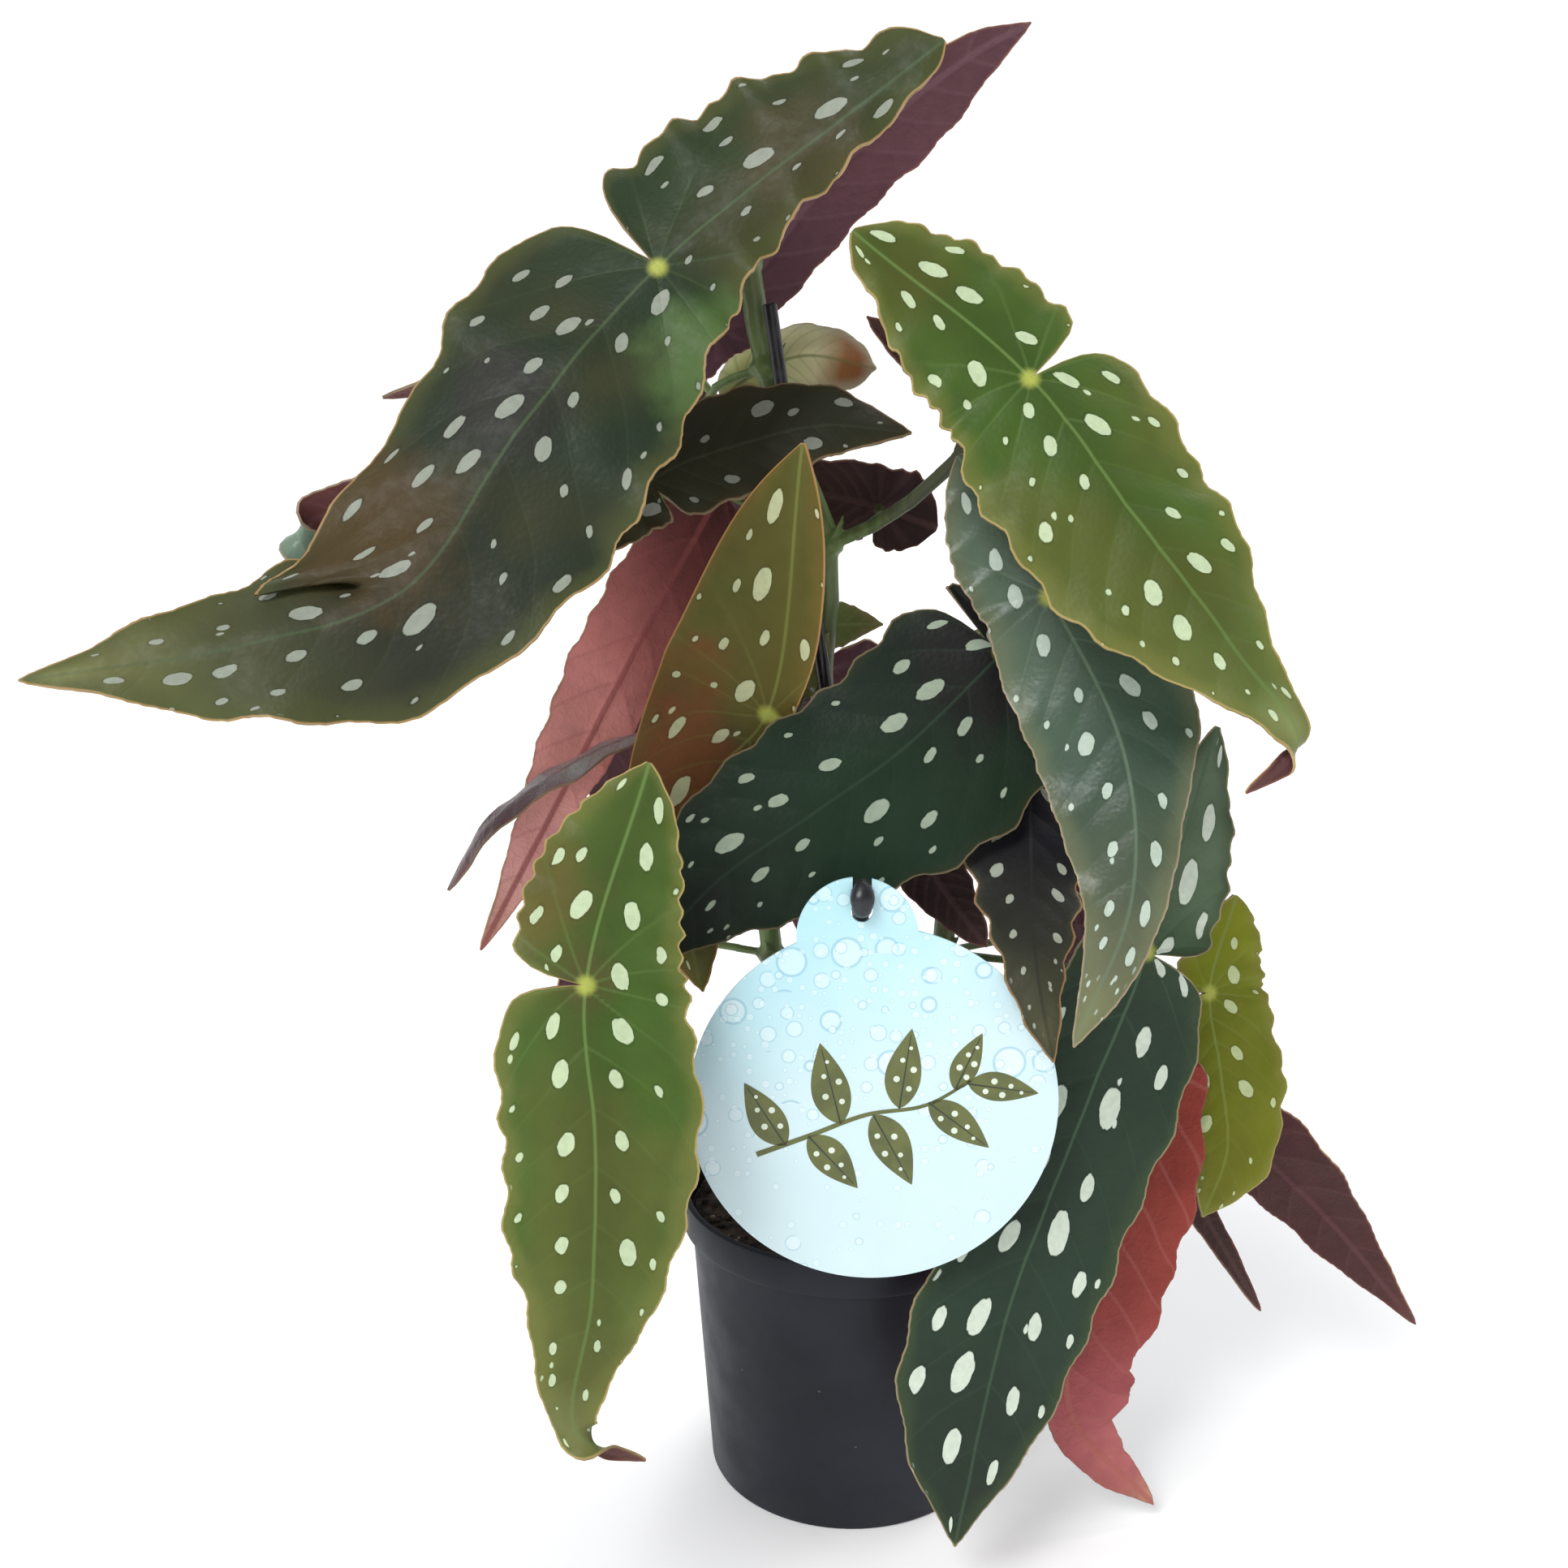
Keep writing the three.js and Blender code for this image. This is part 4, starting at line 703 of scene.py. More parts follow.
def bladeGrid(leaf, rows, columns):
    b = bladeSettings
    frames = midribFrames(leaf)
    heartArc, fullArc = frames[4], frames[1][-1]
    bladeLength = fullArc - heartArc
    end, span = b["endWidth"], bladeLength * b["plainSpan"]
    wide = [end, *(leaf["wide"] or [w * span for w in plainWide]), end]
    narrow = [end, *(leaf["narrow"] or [w * span for w in plainNarrow]), end]
    even = np.linspace(-1, 1, columns + 1)
    across = np.sign(even) * (1 - (1 - np.abs(even)) ** 1.2)
    size = np.abs(across)
    onWide = across > 0
    side = np.where(onWide, 1.0, -1.0)
    fold = math.radians(leaf["fold"])
    phase = leaf["start"] + np.where(onWide, 0, b["narrowPhase"])
    grid = {key: np.zeros((rows + 1, columns + 1)) for key in (*gridKeys, "u", "v", "q", "w", "ribs")}
    place = np.zeros((rows + 1, columns + 1, 3))
    upward = place.copy()
    shift = random.Random(leaf["seed"]).uniform(0, 50)
    widestHalves = [max(b["rowWidth"], max(halves)) for halves in (narrow, wide)]
    veinSpacing = max(bladeLength * 0.105, 5)
    for i in range(rows + 1):
        arc = fullArc * i / rows
        y = arc - heartArc
        s = y / heartArc if y < 0 else y / bladeLength
        point, tangent, normal = frameAt(frames, arc)
        sideways = normal.cross(tangent) * leaf["wing"]
        turn = math.radians(leaf["twist"]) * smoothStep((s - leaf["twistFrom"]) / leaf["twistOver"])
        up = np.array(normal * math.cos(turn) + sideways * math.sin(turn))
        out = np.array(sideways * math.cos(turn) - normal * math.sin(turn))
        half = np.where(onWide, readWidth(wide, s, leaf["bluntEnd"]) * np.interp(s, *zip(*leaf["trim"])),
                        narrowWidth(narrow, s, leaf["bluntEnd"]))
        half = half * min(1, max(0.12, (fullArc - arc) / b["taperLength"])) ** 0.6
        distance = size * half
        turns = 2 * math.pi * leaf["waves"] * s
        wave = leaf["ripple"] * np.minimum(1, half / b["fullRipple"]) * size ** 2 * np.sin(turns + phase)
        frill = b["scallop"] * leaf["frill"] * size ** 2
        scallop = 1 + frill * np.sin(b["scallopsPerWave"] * turns + 3 * phase)
        # small uneven teeth along the margin
        saw = (arc / b["toothLength"] + 0.35 * math.sin(arc * 0.21) + 0.2 * side) % 1
        teeth = b["toothDepth"] * np.minimum(1, half / 10) * size ** 10 * (saw - 0.5)
        # veins: rays from the heart in the lobe, then side veins that leave the midrib forwards
        lean = 0.72 + 0.35 * size
        start = y - distance * lean
        first = np.arctan2(1.0, lean)
        gap = (math.pi - first) / 4
        radius = np.hypot(distance, y)
        sideVein = veinSpacing * 0.8
        q = np.where(start >= 0, start / veinSpacing, -(np.arctan2(distance, y) - first) / gap)
        w = np.where(start >= 0, sideVein, np.minimum(radius * gap, sideVein))
        veinGap = np.abs(q - np.round(q)) * w
        calm = np.minimum(1, half / 18) * (1 - size ** 6)
        quilt = b["quilt"] * np.sin(math.pi * q) ** 2 * np.minimum(1, w / 14) * calm
        groove = b["groove"] * (np.exp(-(veinGap / 1.0) ** 2) + np.exp(-(distance / 1.3) ** 2)) * calm
        ribs = b["veinRib"] * np.exp(-(veinGap / 0.9) ** 2) * calm + b["rib"] * np.exp(-(distance / 1.2) ** 2)
        grid["ribs"][i] = ribs * (1 - 0.75 * max(s, 0)) * np.minimum(1, half / 6)
        swell = b["swell"] * np.array([
            noise.noise((x / b["swellLength"] + leaf["seed"], arc / b["swellLength"], leaf["seed"] * 0.7))
            for x in side * distance]) * np.minimum(1, half / 12)
        level = wave - distance * math.sin(fold) + quilt - groove + swell
        reach = side * (distance * scallop + teeth) * math.cos(fold)
        place[i] = np.array(point) + np.outer(reach, out) + np.outer(level, up)
        if leaf["pleat"]:
            for amount, way in zip(pleatShift(leaf["pleat"], s, size, across), (np.array(tangent), up, out)):
                place[i] += np.outer(amount, way)
        upward[i] = up
        # spots sit in rows: plain columns in u beside the midrib, one step in v to a spot
        rowsHere = [np.maximum(half / b["rowWidth"], 1e-3) * (widest / half) ** 0.5
                    for widest in widestHalves]
        for key, values in {
            "along": s, "toMargin": np.minimum(half - distance, (fullArc - arc) * 0.8 + 0.2),
            "fromRib": distance, "fromHeart": radius, "q": q, "w": w,
            "u": np.where(onWide, wideColumn + size * rowsHere[1], narrowColumn - size * rowsHere[0]),
            "v": (y - 0.5 * distance) / (leaf["spacing"] * leaf["stretch"]) + shift,
        }.items():
            grid[key][i] = values
    # a blade that bends sharply at its heart is eased so that its margin stays open
    calmAlong = np.clip((leaf["easeTo"] - grid["along"][1:-1]) / 0.2, 0, 1)
    for _ in range(leaf["ease"]):
        drift = (place[:-2] + place[2:]) / 2 - place[1:-1]
        place[1:-1] += drift * (calmAlong * size ** 1.5)[:, :, None]
    return place * mm, upward, grid


def makeLeaf(name, leaf):
    b = bladeSettings
    columns = b["largeColumns" if leaf["large"] else "smallColumns"]
    rows = int(midribFrames(leaf)[1][-1] / b["rowLength"])
    place, upward, grid = bladeGrid(leaf, rows, columns)
    bpy.ops.object.select_all(action="DESELECT")
    bpy.ops.mesh.primitive_grid_add(x_subdivisions=columns, y_subdivisions=rows, size=2)
    piece = bpy.context.object
    mesh = piece.data
    count = len(mesh.vertices)
    plain = readPlaces(mesh)
    i = np.rint((plain[:, 1] + 1) / 2 * rows).astype(int)
    j = np.rint((1 - plain[:, 0] * leaf["wing"]) / 2 * columns).astype(int)
    mesh.vertices.foreach_set("co", place[i, j].ravel())
    for key in gridKeys:
        mesh.attributes.new(key, "FLOAT", "POINT").data.foreach_set("value", grid[key][i, j])
    corners = np.zeros(len(mesh.loops), int)
    mesh.loops.foreach_get("vertex_index", corners)
    mesh.uv_layers[0].name = "flat"
    mesh.uv_layers.new(name="veins")
    cornerSide = np.repeat([j[list(face.vertices)].mean() > columns / 2 for face in mesh.polygons], 4)
    onRib = j[corners] == columns // 2
    for layer, keys in (("flat", "uv"), ("veins", "qw")):
        pairs = np.stack([grid[key][i, j][corners] for key in keys], 1)
        if layer == "flat":
            pairs[onRib, 0] = np.where(cornerSide[onRib], wideColumn, narrowColumn)
        mesh.uv_layers[layer].data.foreach_set("uv", pairs.ravel())
    for look in (leaf["upper"], leaf["under"], (leaf["rim"] or leaf["upper"]) + "Rim"):
        mesh.materials.append(leafMaterials[look])
    applied(piece, "SOLIDIFY", thickness=b["thickness"] * mm, offset=0,
            material_offset=1, material_offset_rim=2)
    # midrib and side veins stand proud of the underside
    full = readPlaces(mesh)
    full[count:2 * count] -= upward[i, j] * (grid["ribs"][i, j] * mm)[:, None]
    mesh.vertices.foreach_set("co", full.ravel())
    mesh.update()
    smoothBy(piece, b["smooth"])
    handOver(piece, "fine_" + name, leaf["slot"], name)


for leafName, leafShape in leaves.items():
    makeLeaf(leafName, leafShape)
print("leaves:", len(leaves))


# canes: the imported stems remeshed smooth, with a flared end under every blade

caneSettings = {
    "voxel": 0.72, "smooth": 5, "flareFoot": 1.7, "flareTop": 2.0, "youngTop": 1.5, "flareLength": 4.4,
    "flareAt": 0.98, "flareSunk": 1.0, "stretch": 0.22, "bractWidth": 2.7, "bractTip": 0.35,
    "bractFlat": 0.42,
}
# the leaves on each cane, and its bracts: place, turn about the cane, lean outwards and length
canes = {
    "cane_main": (
        ["leaf_upper_left", "leaf_top_back", "leaf_far_top", "leaf_tip_left", "leaf_curled_left",
         "leaf_centre_back", "leaf_right", "leaf_small_maroon", "leaf_rose_left", "leaf_plum", "leaf_olive",
         "leaf_far_middle", "young_leaf_top", "joint_bract", "young_leaf_middle"],
        [((-9, 0, 336), 0.7, 0.5, 13), ((-9, 0, 334), 2.4, 0.6, 11), ((-11, 0, 272), 0.4, 0.35, 14),
         ((-11, 0, 270), -1.4, 0.6, 11), ((-29, -4, 392), 1.2, 0.5, 10), ((-5, 5, 182), 0.2, 0.4, 11)]),
    "cane_left": (
        ["leaf_edge_left", "leaf_far_left", "leaf_lower_left", "leaf_far_low_left"],
        [((-28, 13, 188), -0.3, 0.5, 11), ((-36, 12, 264), -0.8, 0.5, 10)]),
    "cane_right": (
        ["leaf_grey_right", "leaf_middle", "leaf_far_right", "leaf_dark_tip", "leaf_behind_tag",
         "leaf_lower_right", "leaf_lime_right", "leaf_rose_right", "leaf_maroon_right", "leaf_dark_sliver",
         "leaf_far_low_right"],
        [((32, 9, 190), 0.9, 0.5, 12), ((34, 4, 248), -0.4, 0.5, 12), ((32, 2, 300), 0.8, 0.4, 10)]),
}


def caneMaterial():
    f = Surface("caneGreen", 0.45)
    stretch = f.node("Mapping", {"Vector": f.place, "Scale": (1, 1, caneSettings["stretch"])}).outputs[0]
    streaks = f.noise(330, 4, stretch)
    f.color = f.mix(f.fade(f.noise(28, 3), 0.35, 0.65), (125, 205, 48), (74, 94, 32))
    f.paint(f.fade(streaks, 0.5, 0.7, 0, 0.6), (175, 240, 98))
    f.paint(f.near((30, -28, 352), 44, streaks, 0.9), (46, 48, 26))
    # pale lenticels, longer than wide
    cells = f.cells(300, stretch)
    dots = f.times(f.fade(cells["Distance"], 0.12, 0.2, 1, 0), f.above(f.split(cells["Color"])[0], 0.75))
    f.paint(f.times(dots, 0.7), (220, 250, 130))
    f.bump(f.maths("ADD", streaks, dots), 0.4, 0.0004)
    return f.done()


def addFlare(leaf):
    c = caneSettings
    frames = midribFrames(leaf)
    young = leaf["footStalk"]
    point, tangent, normal = frameAt(frames, 0 if young else frames[4] * c["flareAt"])
    way, sunk, top = (tangent, -1, "youngTop") if young else (normal, c["flareSunk"], "flareTop")
    bpy.ops.mesh.primitive_cone_add(
        vertices=16, radius1=c["flareFoot"] * mm, radius2=c[top] * mm, depth=c["flareLength"] * mm,
        location=(point - way * (c["flareLength"] / 2 + sunk)) * mm,
        rotation=way.to_track_quat("Z", "Y").to_euler())
    return bpy.context.object


def addBract(place, turn, lean, length):
    c = caneSettings
    bpy.ops.mesh.primitive_cone_add(vertices=12, radius1=c["bractWidth"] * mm, radius2=c["bractTip"] * mm,
                                    depth=length * mm, location=(0, 0, length * 0.4 * mm))
    bract = bpy.context.object
    bract.scale = (1, c["bractFlat"], 1)
    placed(bract)
    bract.location = (Vector(place) + Vector((math.sin(turn), -math.cos(turn), 0)) * 3) * mm
    bract.rotation_euler = (lean, 0, turn)
    return bract


def makeCane(name, leafNames, bracts, material):
    stem = linked("fine_" + name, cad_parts[name].data.copy())
    ends = [addFlare(leaves[leafName]) for leafName in leafNames] + [addBract(*bract) for bract in bracts]
    pickOnly(stem, *ends)
    bpy.ops.object.join()
    bpy.ops.object.mode_set(mode="EDIT")
    bpy.ops.mesh.select_all(action="SELECT")
    bpy.ops.mesh.remove_doubles(threshold=0.00001)
    bpy.ops.object.mode_set(mode="OBJECT")
    applied(stem, "REMESH", mode="VOXEL", voxel_size=caneSettings["voxel"] * mm)
    applied(stem, "SMOOTH", factor=0.5, iterations=caneSettings["smooth"])
    bpy.ops.object.shade_smooth()
    stem.data.materials.clear()
    stem.data.materials.append(material)
    handOver(stem, "fine_" + name, "stem", name)


caneGreen = caneMaterial()
for caneName, (leafNames, bracts) in canes.items():
    makeCane(caneName, leafNames, bracts, caneGreen)
print("canes:", len(canes))


# black plastic: the stick and the tag's hook

stickSettings = {"foot": (23, -12, 69), "top": (-28, -12, 410), "radius": 2.2, "edge": 0.7}
hookSettings = {
    "radius": 2.4, "steps": 10, "front": -73.4, "spread": 1.55, "widest": 236.4, "reach": 3,
    "path": [(1, -47, 69), (1, -47, 104), (0, -58, 176), (0, -64.2, 214), (0, -67.8, 229), (0, -69.2, 236),
             (0, -72.5, 239.4), (0, -75.9, 236.4), (0, -75.6, 233), (0, -71.6, 231.6)],
}


def blackPlastic():
    f = Surface("blackPlastic", 0.34)
    haze = f.noise(120, 4)
    f.color = f.mix(f.fade(haze, 0.4, 0.75), (10, 10, 12), (32, 33, 37))
    f.roughen(haze, 0.26, 0.46)
    f.bump(f.noise(700, 3), 0.15, 0.0003)
    return f.done()


def makeStick(material):
    foot, top = Vector(stickSettings["foot"]) * mm, Vector(stickSettings["top"]) * mm
    bpy.ops.mesh.primitive_cylinder_add(
        vertices=40, radius=stickSettings["radius"] * mm, depth=(top - foot).length,
        location=(foot + top) / 2, rotation=(top - foot).to_track_quat("Z", "Y").to_euler())
    stick = placed(bpy.context.object)
    applied(stick, "BEVEL", width=stickSettings["edge"] * mm, segments=3, limit_method="ANGLE")
    smoothBy(stick, 35)
    stick.data.materials.append(material)
    handOver(stick, "fine_support_stick", "black_plastic", "support_stick")


def makeHook(material):
    h = hookSettings
    path = smoothPath(h["path"], h["steps"])
    curve = bpy.data.curves.new("hookPath", "CURVE")
    curve.dimensions = "3D"
    curve.bevel_depth = h["radius"] * mm
    curve.bevel_resolution = 5
    curve.use_fill_caps = True
    spline = curve.splines.new("POLY")
    spline.points.add(len(path) - 1)
    for knot, point in zip(spline.points, path):
        knot.co = (*(point * mm), 1)
    linked("hook", curve)
    bpy.ops.object.convert(target="MESH")
    hook = bpy.context.object
    # the end in front of the tag is spread flat, widest halfway up
    bpy.ops.object.mode_set(mode="EDIT")
    cage = bmesh.from_edit_mesh(hook.data)
    for corner in cage.verts:
        place = corner.co / mm
        forward = smoothStep((h["front"] - place.y) / 0.8)
        upward = math.exp(-((place.z - h["widest"]) / h["reach"]) ** 2)
        corner.co.x *= 1 + (h["spread"] - 1) * forward * (0.25 + 0.75 * upward)
    bmesh.update_edit_mesh(hook.data)
    bpy.ops.object.mode_set(mode="OBJECT")
    smoothBy(hook, 40)
    hook.data.materials.clear()
    hook.data.materials.append(material)
    handOver(hook, "fine_tag_hook", "black_plastic", "tag_hook")


plasticBlack = blackPlastic()
makeStick(plasticBlack)
makeHook(plasticBlack)
print("stick and hook are made")


# pot and soil, turned up from a circle ring by ring

potSettings = {
    "outer": [(48.8, 0), (49.6, 0.35), (50, 1.2), (50.9, 14), (56.5, 93.9), (58.8, 94), (59.7, 94.4),
              (60, 95.2), (60, 104.8), (59.7, 105.6), (58.8, 106)],
    "inner": [(57.8, 106), (57.4, 105.5), (57.2, 95.4), (55.1, 94), (48.6, 2.1), (48, 2)],
    "holeRadius": 3.5, "holeCircle": 32, "holes": 6, "cutDepth": 8,
}
soilSettings = {
    "profile": [(48.1, 2.3), (48.3, 2.6), (54.6, 93), (54.6, 96.6)], "top": 98, "rings": 30, "edge": 54.3,
    "rough": 1.5, "clod": 11, "crumbs": 620, "crumbSize": (0.5, 2.3), "chips": 34, "chipSize": (0.5, 1.3),
    "spread": 52, "seed": 4,
}


def turnUp(profile, vertices):
    radius, height = profile[0]
    bpy.ops.object.select_all(action="DESELECT")
    bpy.ops.mesh.primitive_circle_add(vertices=vertices, radius=radius * mm, fill_type="NGON",
                                      location=(0, 0, height * mm))
    bpy.ops.object.mode_set(mode="EDIT")
    bpy.ops.mesh.select_all(action="SELECT")
    for nextRadius, nextHeight in profile[1:]:
        bpy.ops.mesh.extrude_region_move(TRANSFORM_OT_translate={"value": (0, 0, (nextHeight - height) * mm)})
        ratio = nextRadius / radius
        bpy.ops.transform.resize(value=(ratio, ratio, 1), center_override=(0, 0, nextHeight * mm))
        radius, height = nextRadius, nextHeight
    bpy.ops.mesh.select_all(action="SELECT")
    bpy.ops.mesh.normals_make_consistent(inside=False)
    bpy.ops.object.mode_set(mode="OBJECT")
    return placed(bpy.context.object)


def potMaterial():
    f = Surface("potCharcoal", 0.42, 0.22)
    f.color = f.mix(f.fade(f.noise(22, 4), 0.35, 0.7), (10, 11.8, 17), (16.5, 18.5, 26))
    # a few pale specks
    specks = f.cells(210)
    dust = f.times(f.fade(specks["Distance"], 0.05, 0.11, 1, 0), f.above(f.split(specks["Color"])[1], 0.93))
    f.paint(f.times(dust, 0.5), (140, 140, 150))
    f.roughen(f.noise(70, 5), 0.42, 0.55)
    f.bump(f.noise(900, 2), 0.12, 0.0003)
    return f.done()


def makePot():
    p = potSettings
    pot = turnUp(p["outer"] + p["inner"], 144)
    pot.data.materials.append(potMaterial())
    for k in range(p["holes"]):
        angle = 2 * math.pi * k / p["holes"]
        spot = Vector((math.cos(angle), math.sin(angle), 0)) * p["holeCircle"] * mm
        bpy.ops.mesh.primitive_cylinder_add(
            vertices=32, radius=p["holeRadius"] * mm, depth=p["cutDepth"] * mm, location=spot)
        combined(pot, bpy.context.object, "DIFFERENCE")
    smoothBy(pot, 32)
    handOver(pot, "fine_pot", "pot", "pot")


def soilMaterial(name, dark, light):
    f = Surface(name, 0.9, 0.2)
    f.color = f.mix(f.fade(f.noise(260, 6), 0.35, 0.7), dark, light)
    f.bump(f.noise(800, 5), 0.8, 0.0012)
    return f.done()


def soilHeight(x, y):
    clods = noise.fractal(Vector((x, y, 3)) / soilSettings["clod"], 0.8, 2.2, 4)
    return soilSettings["top"] + soilSettings["rough"] * clods


def makeSoil():
    s = soilSettings
    rings = [(s["edge"] * (1 - k / s["rings"]) ** 0.9 + 1, s["top"]) for k in range(s["rings"])]
    soil = turnUp(s["profile"] + rings, 120)
    for vertex in soil.data.vertices:
        x, y, z = vertex.co / mm
        if z > s["top"] - 0.5:
            vertex.co.z = soilHeight(x, y) * mm
    peat = soilMaterial("darkPeat", (9, 7, 6), (50, 34, 24))
    pale = soilMaterial("paleChip", (110, 85, 55), (260, 220, 160))
    soil.data.materials.append(peat)
    rng = random.Random(s["seed"])
    bpy.ops.mesh.primitive_ico_sphere_add(subdivisions=1, radius=mm)
    crumb = bpy.context.object
    bits = []
    for k in range(s["crumbs"] + s["chips"]):
        chip = k >= s["crumbs"]
        angle, radius = rng.uniform(0, 2 * math.pi), s["spread"] * math.sqrt(rng.random())
        x, y = radius * math.cos(angle), radius * math.sin(angle)
        size = rng.uniform(*s["chipSize"]) if chip else rng.uniform(*s["crumbSize"]) * rng.uniform(0.4, 1)
        bit = crumb.copy()
        bit.data = crumb.data.copy()
        for vertex in bit.data.vertices:
            vertex.co *= 1 + 0.45 * noise.noise(vertex.co * 900 + Vector((k, 0, 0)))
        bit.location = Vector((x, y, soilHeight(x, y) + size * 0.35)) * mm
        bit.scale = (size * rng.uniform(0.7, 1.3), size * rng.uniform(0.7, 1.3), size * 0.8)
        bit.rotation_euler = [rng.uniform(0, 3.1) for _ in range(3)]
        bit.data.materials.append(pale if chip else peat)
        bpy.context.scene.collection.objects.link(bit)
        bits.append(bit)
    bpy.data.objects.remove(crumb)
    pickOnly(soil, *bits)
    bpy.ops.object.join()
    handOver(soil, "fine_soil", "soil", "soil")


makePot()
makeSoil()
print("pot and soil are made")


# tag: a round card with a holed tab, printed with drops and a sprig

tagSettings = {
    "center": (4, -76, 170), "radius": 57, "thickness": 0.9, "lean": 3, "edge": 0.18,
    "tab": {"radius": 18.5, "x": -5.3, "z": 53.7}, "hole": {"radius": 3.3, "x": -4, "z": 61.6},
    "slot": {"width": 5.8, "bottom": 66.5, "height": 10, "depth": 4},
}
# sprig: leaves as foot, angle, length and width, dots as shares of both and a radius
sprigSettings = {
    "stem": [(-36, -16), (-20, -10), (-2, -3), (16, 0), (30, 8)], "stemWidth": 0.9, "ribWidth": 0.28,
    "leaves": [(-27, -13, 122, 24, 6.5), (-20, -10, -48, 23, 6.5), (-10, -6, 104, 27, 7), (0, -3, -62, 26, 7),
               (8, -1, 82, 26, 6.5), (17, 1, -38, 24, 6), (25, 5, 66, 20, 5), (29, 7, -8, 22, 5.5)],
    "dots": [(0.26, -0.3, 0.9), (0.36, 0.35, 1.0), (0.50, -0.38, 1.0), (0.60, 0.2, 0.8), (0.76, -0.1, 0.6)],
    "inkThickness": 0.03,
}
# inks: name, two colours, and how far the ink stands off the card
inks = {
    "leaf": ("oliveInk", (125, 140, 36), (90, 105, 28), 0.05),
    "dot": ("paleInk", (720, 780, 660), (600, 680, 550), 0.08),
    "rib": ("darkInk", (20, 30, 18), (30, 40, 22), 0.07),
}
# drops of water: how fine, least and largest radius, and how strong the ring is
drops = [(62, 0.10, 0.30, 0.5), (120, 0.12, 0.30, 0.4), (240, 0.14, 0.30, 0.3)]


def tagMaterial():
    f = Surface("tagCard", 0.32)
    left, _, height = f.split(f.place)
    sky = f.fade(f.maths("ADD", height, f.times(left, -0.35)), 0.115, 0.25)
    f.ramp(sky, [(0, 600, 760, 790), (0.45, 610, 790, 830), (0.8, 500, 770, 830), (1, 440, 740, 820)])
    f.paint(f.fade(f.noise(40, 3), 0.35, 0.7, 0, 0.35), (660, 830, 850))
    for scale, low, high, strength in drops:
        turn, shift = (math.radians(90), 0, 0), (scale * 0.013, scale * 0.007, 0)
        flat = f.node("Mapping", {"Vector": f.place, "Rotation": turn, "Location": shift}).outputs[0]
        cells = f.cells(scale, flat, 0.85, voronoi_dimensions="2D")
        pick = f.split(cells["Color"])
        radius = f.fade(pick[0], 0, 1, low, high)
        ring = f.fade(f.maths("ABSOLUTE", f.minus(cells["Distance"], radius)), 0.012, 0.035, 1, 0)
        inside = f.fade(f.minus(radius, cells["Distance"]), 0, 0.04)
        # they crowd towards the tab
        kept = f.above(pick[1], f.fade(height, 0.13, 0.23, 0.84, 0.30))
        f.paint(f.times(f.times(inside, kept), 0.35), (840, 950, 970))
        f.paint(f.times(f.times(ring, kept), strength), (200, 460, 600))
    f.bump(f.noise(1500, 2), 0.08, 0.0002)
    return f.done()


def leanTag(piece):
    piece.rotation_euler = (-math.radians(tagSettings["lean"]), 0, 0)
    piece.location = Vector(tagSettings["center"]) * mm
    placed(piece)


def flatRound(shape, depth, vertices):
    bpy.ops.mesh.primitive_cylinder_add(
        vertices=vertices, radius=shape["radius"] * mm, depth=depth * mm, rotation=(math.radians(90), 0, 0),
        location=(shape.get("x", 0) * mm, 0, shape.get("z", 0) * mm))
    return placed(bpy.context.object)


def makeTag():
    t = tagSettings
    card = flatRound({"radius": t["radius"]}, t["thickness"], 160)
    tab = flatRound(t["tab"], t["thickness"], 96)
    hole = flatRound(t["hole"], t["thickness"] + 2, 48)
    bpy.ops.mesh.primitive_cube_add(
        size=mm, location=(t["hole"]["x"] * mm, 0, (t["slot"]["bottom"] + t["slot"]["height"] / 2) * mm))
    slot = bpy.context.object
    slot.scale = [t["slot"][key] for key in ("width", "depth", "height")]
    placed(slot)
    combined(card, tab, "UNION")
    combined(card, hole, "DIFFERENCE")
    combined(card, slot, "DIFFERENCE")
    applied(card, "BEVEL", width=t["edge"] * mm, segments=2, limit_method="ANGLE",
            angle_limit=math.radians(50))
    leanTag(card)
    smoothBy(card, 30)
    card.data.materials.append(tagMaterial())
    handOver(card, "fine_plant_tag", "tag", "plant_tag")


def turned(x, z, degrees, points):
    turn = math.radians(degrees)
    return [(x + u * math.cos(turn) - v * math.sin(turn), z + u * math.sin(turn) + v * math.cos(turn))
            for u, v in points]


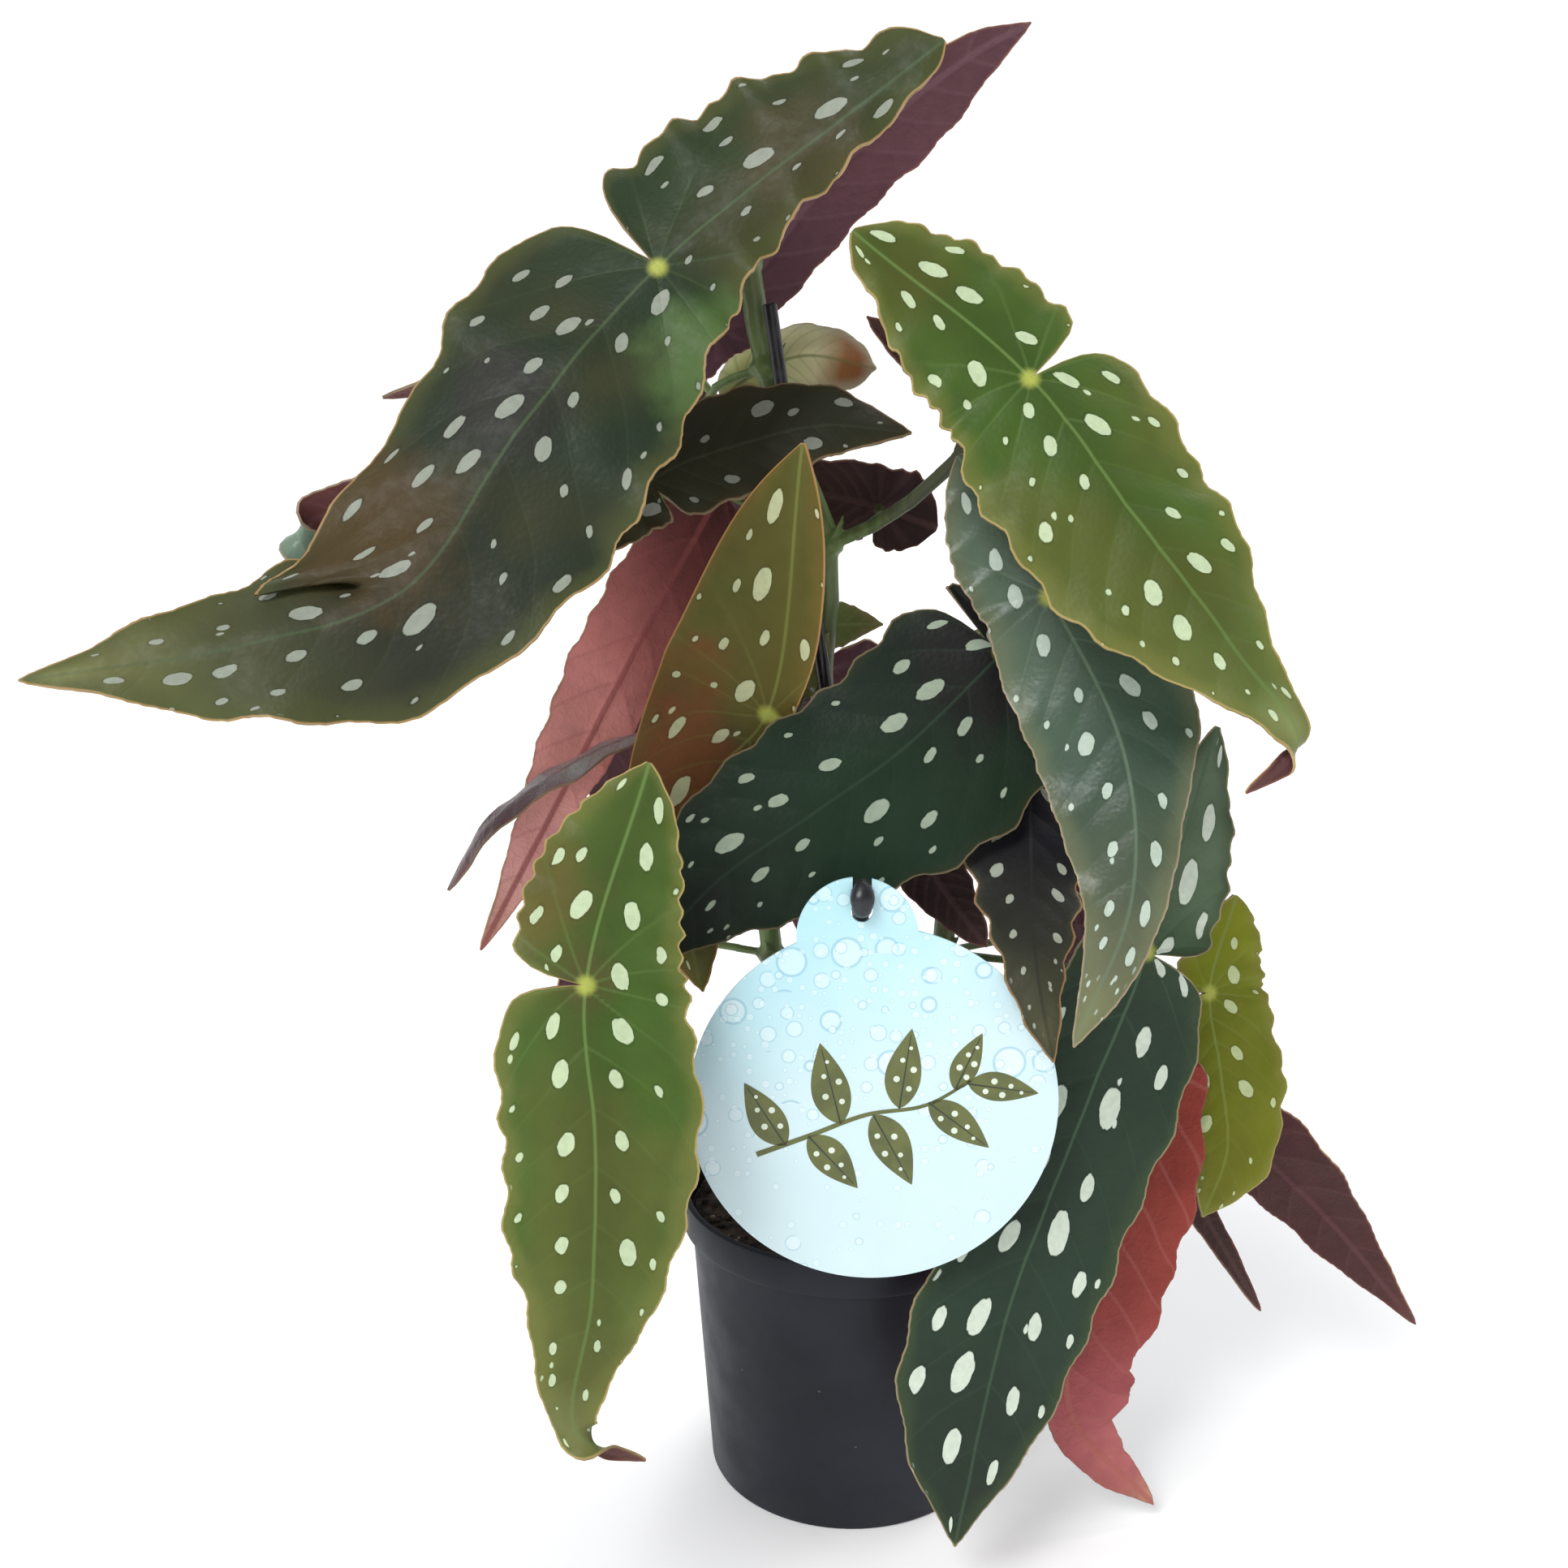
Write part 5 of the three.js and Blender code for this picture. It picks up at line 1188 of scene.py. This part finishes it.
def leafOutline(length, width):
    steps = [k / 24 for k in range(25)]
    halves = [width * math.sin(math.pi * t ** 0.8) ** 0.9 * (1 - 0.2 * t) for t in steps]
    upper = [(t * length, half) for t, half in zip(steps, halves)]
    lower = [(t * length, -half * 0.85) for t, half in zip(steps, halves)]
    return upper + lower[-2:0:-1]


def stemOutline(points, width):
    path = smoothPath([(x, z, 0) for x, z in points], 8)
    left, right = [], []
    for k, p in enumerate(path):
        way = (path[min(k + 1, len(path) - 1)] - path[max(k - 1, 0)]).normalized()
        out = Vector((-way.y, way.x, 0)) * width * (1 - 0.5 * k / len(path))
        left.append((p + out)[:2])
        right.append((p - out)[:2])
    return left + right[::-1]


def makePrint():
    s = sprigSettings
    shapes = [("leaf", stemOutline(s["stem"], s["stemWidth"]))]
    for x, z, angle, length, width in s["leaves"]:
        shapes.append(("leaf", turned(x, z, angle, leafOutline(length, width))))
        axis = turned(x, z, angle, [(share * length, 0) for share in (0, 0.46, 0.92)])
        shapes.append(("rib", stemOutline(axis, s["ribWidth"])))
        for t, v, radius in s["dots"]:
            (u, w), = turned(x, z, angle, [(t * length, v * width)])
            angles = [k * math.pi / 8 for k in range(16)]
            shapes.append(("dot", [(u + radius * math.cos(a), w + radius * math.sin(a)) for a in angles]))
    points, faces = [], []
    for ink, outline in shapes:
        y = -tagSettings["thickness"] / 2 - inks[ink][3]
        faces.append(range(len(points), len(points) + len(outline)))
        points += [(x * mm, y * mm, z * mm) for x, z in outline]
    mesh = bpy.data.meshes.new("sprig")
    mesh.from_pydata(points, [], faces)
    for face, (ink, _) in zip(mesh.polygons, shapes):
        face.material_index = list(inks).index(ink)
    for name, color, deep, _ in inks.values():
        mesh.materials.append(plainMix(name, 0.4, 150, 0.7, color, deep))
    sprig = linked("sprig", mesh)
    bpy.ops.object.mode_set(mode="EDIT")
    bpy.ops.mesh.select_all(action="SELECT")
    bpy.ops.mesh.quads_convert_to_tris()
    bpy.ops.object.mode_set(mode="OBJECT")
    applied(sprig, "SOLIDIFY", thickness=s["inkThickness"] * mm, offset=0)
    leanTag(sprig)
    handOver(sprig, "tag_print", "tag")


makeTag()
makePrint()
print("tag is made")
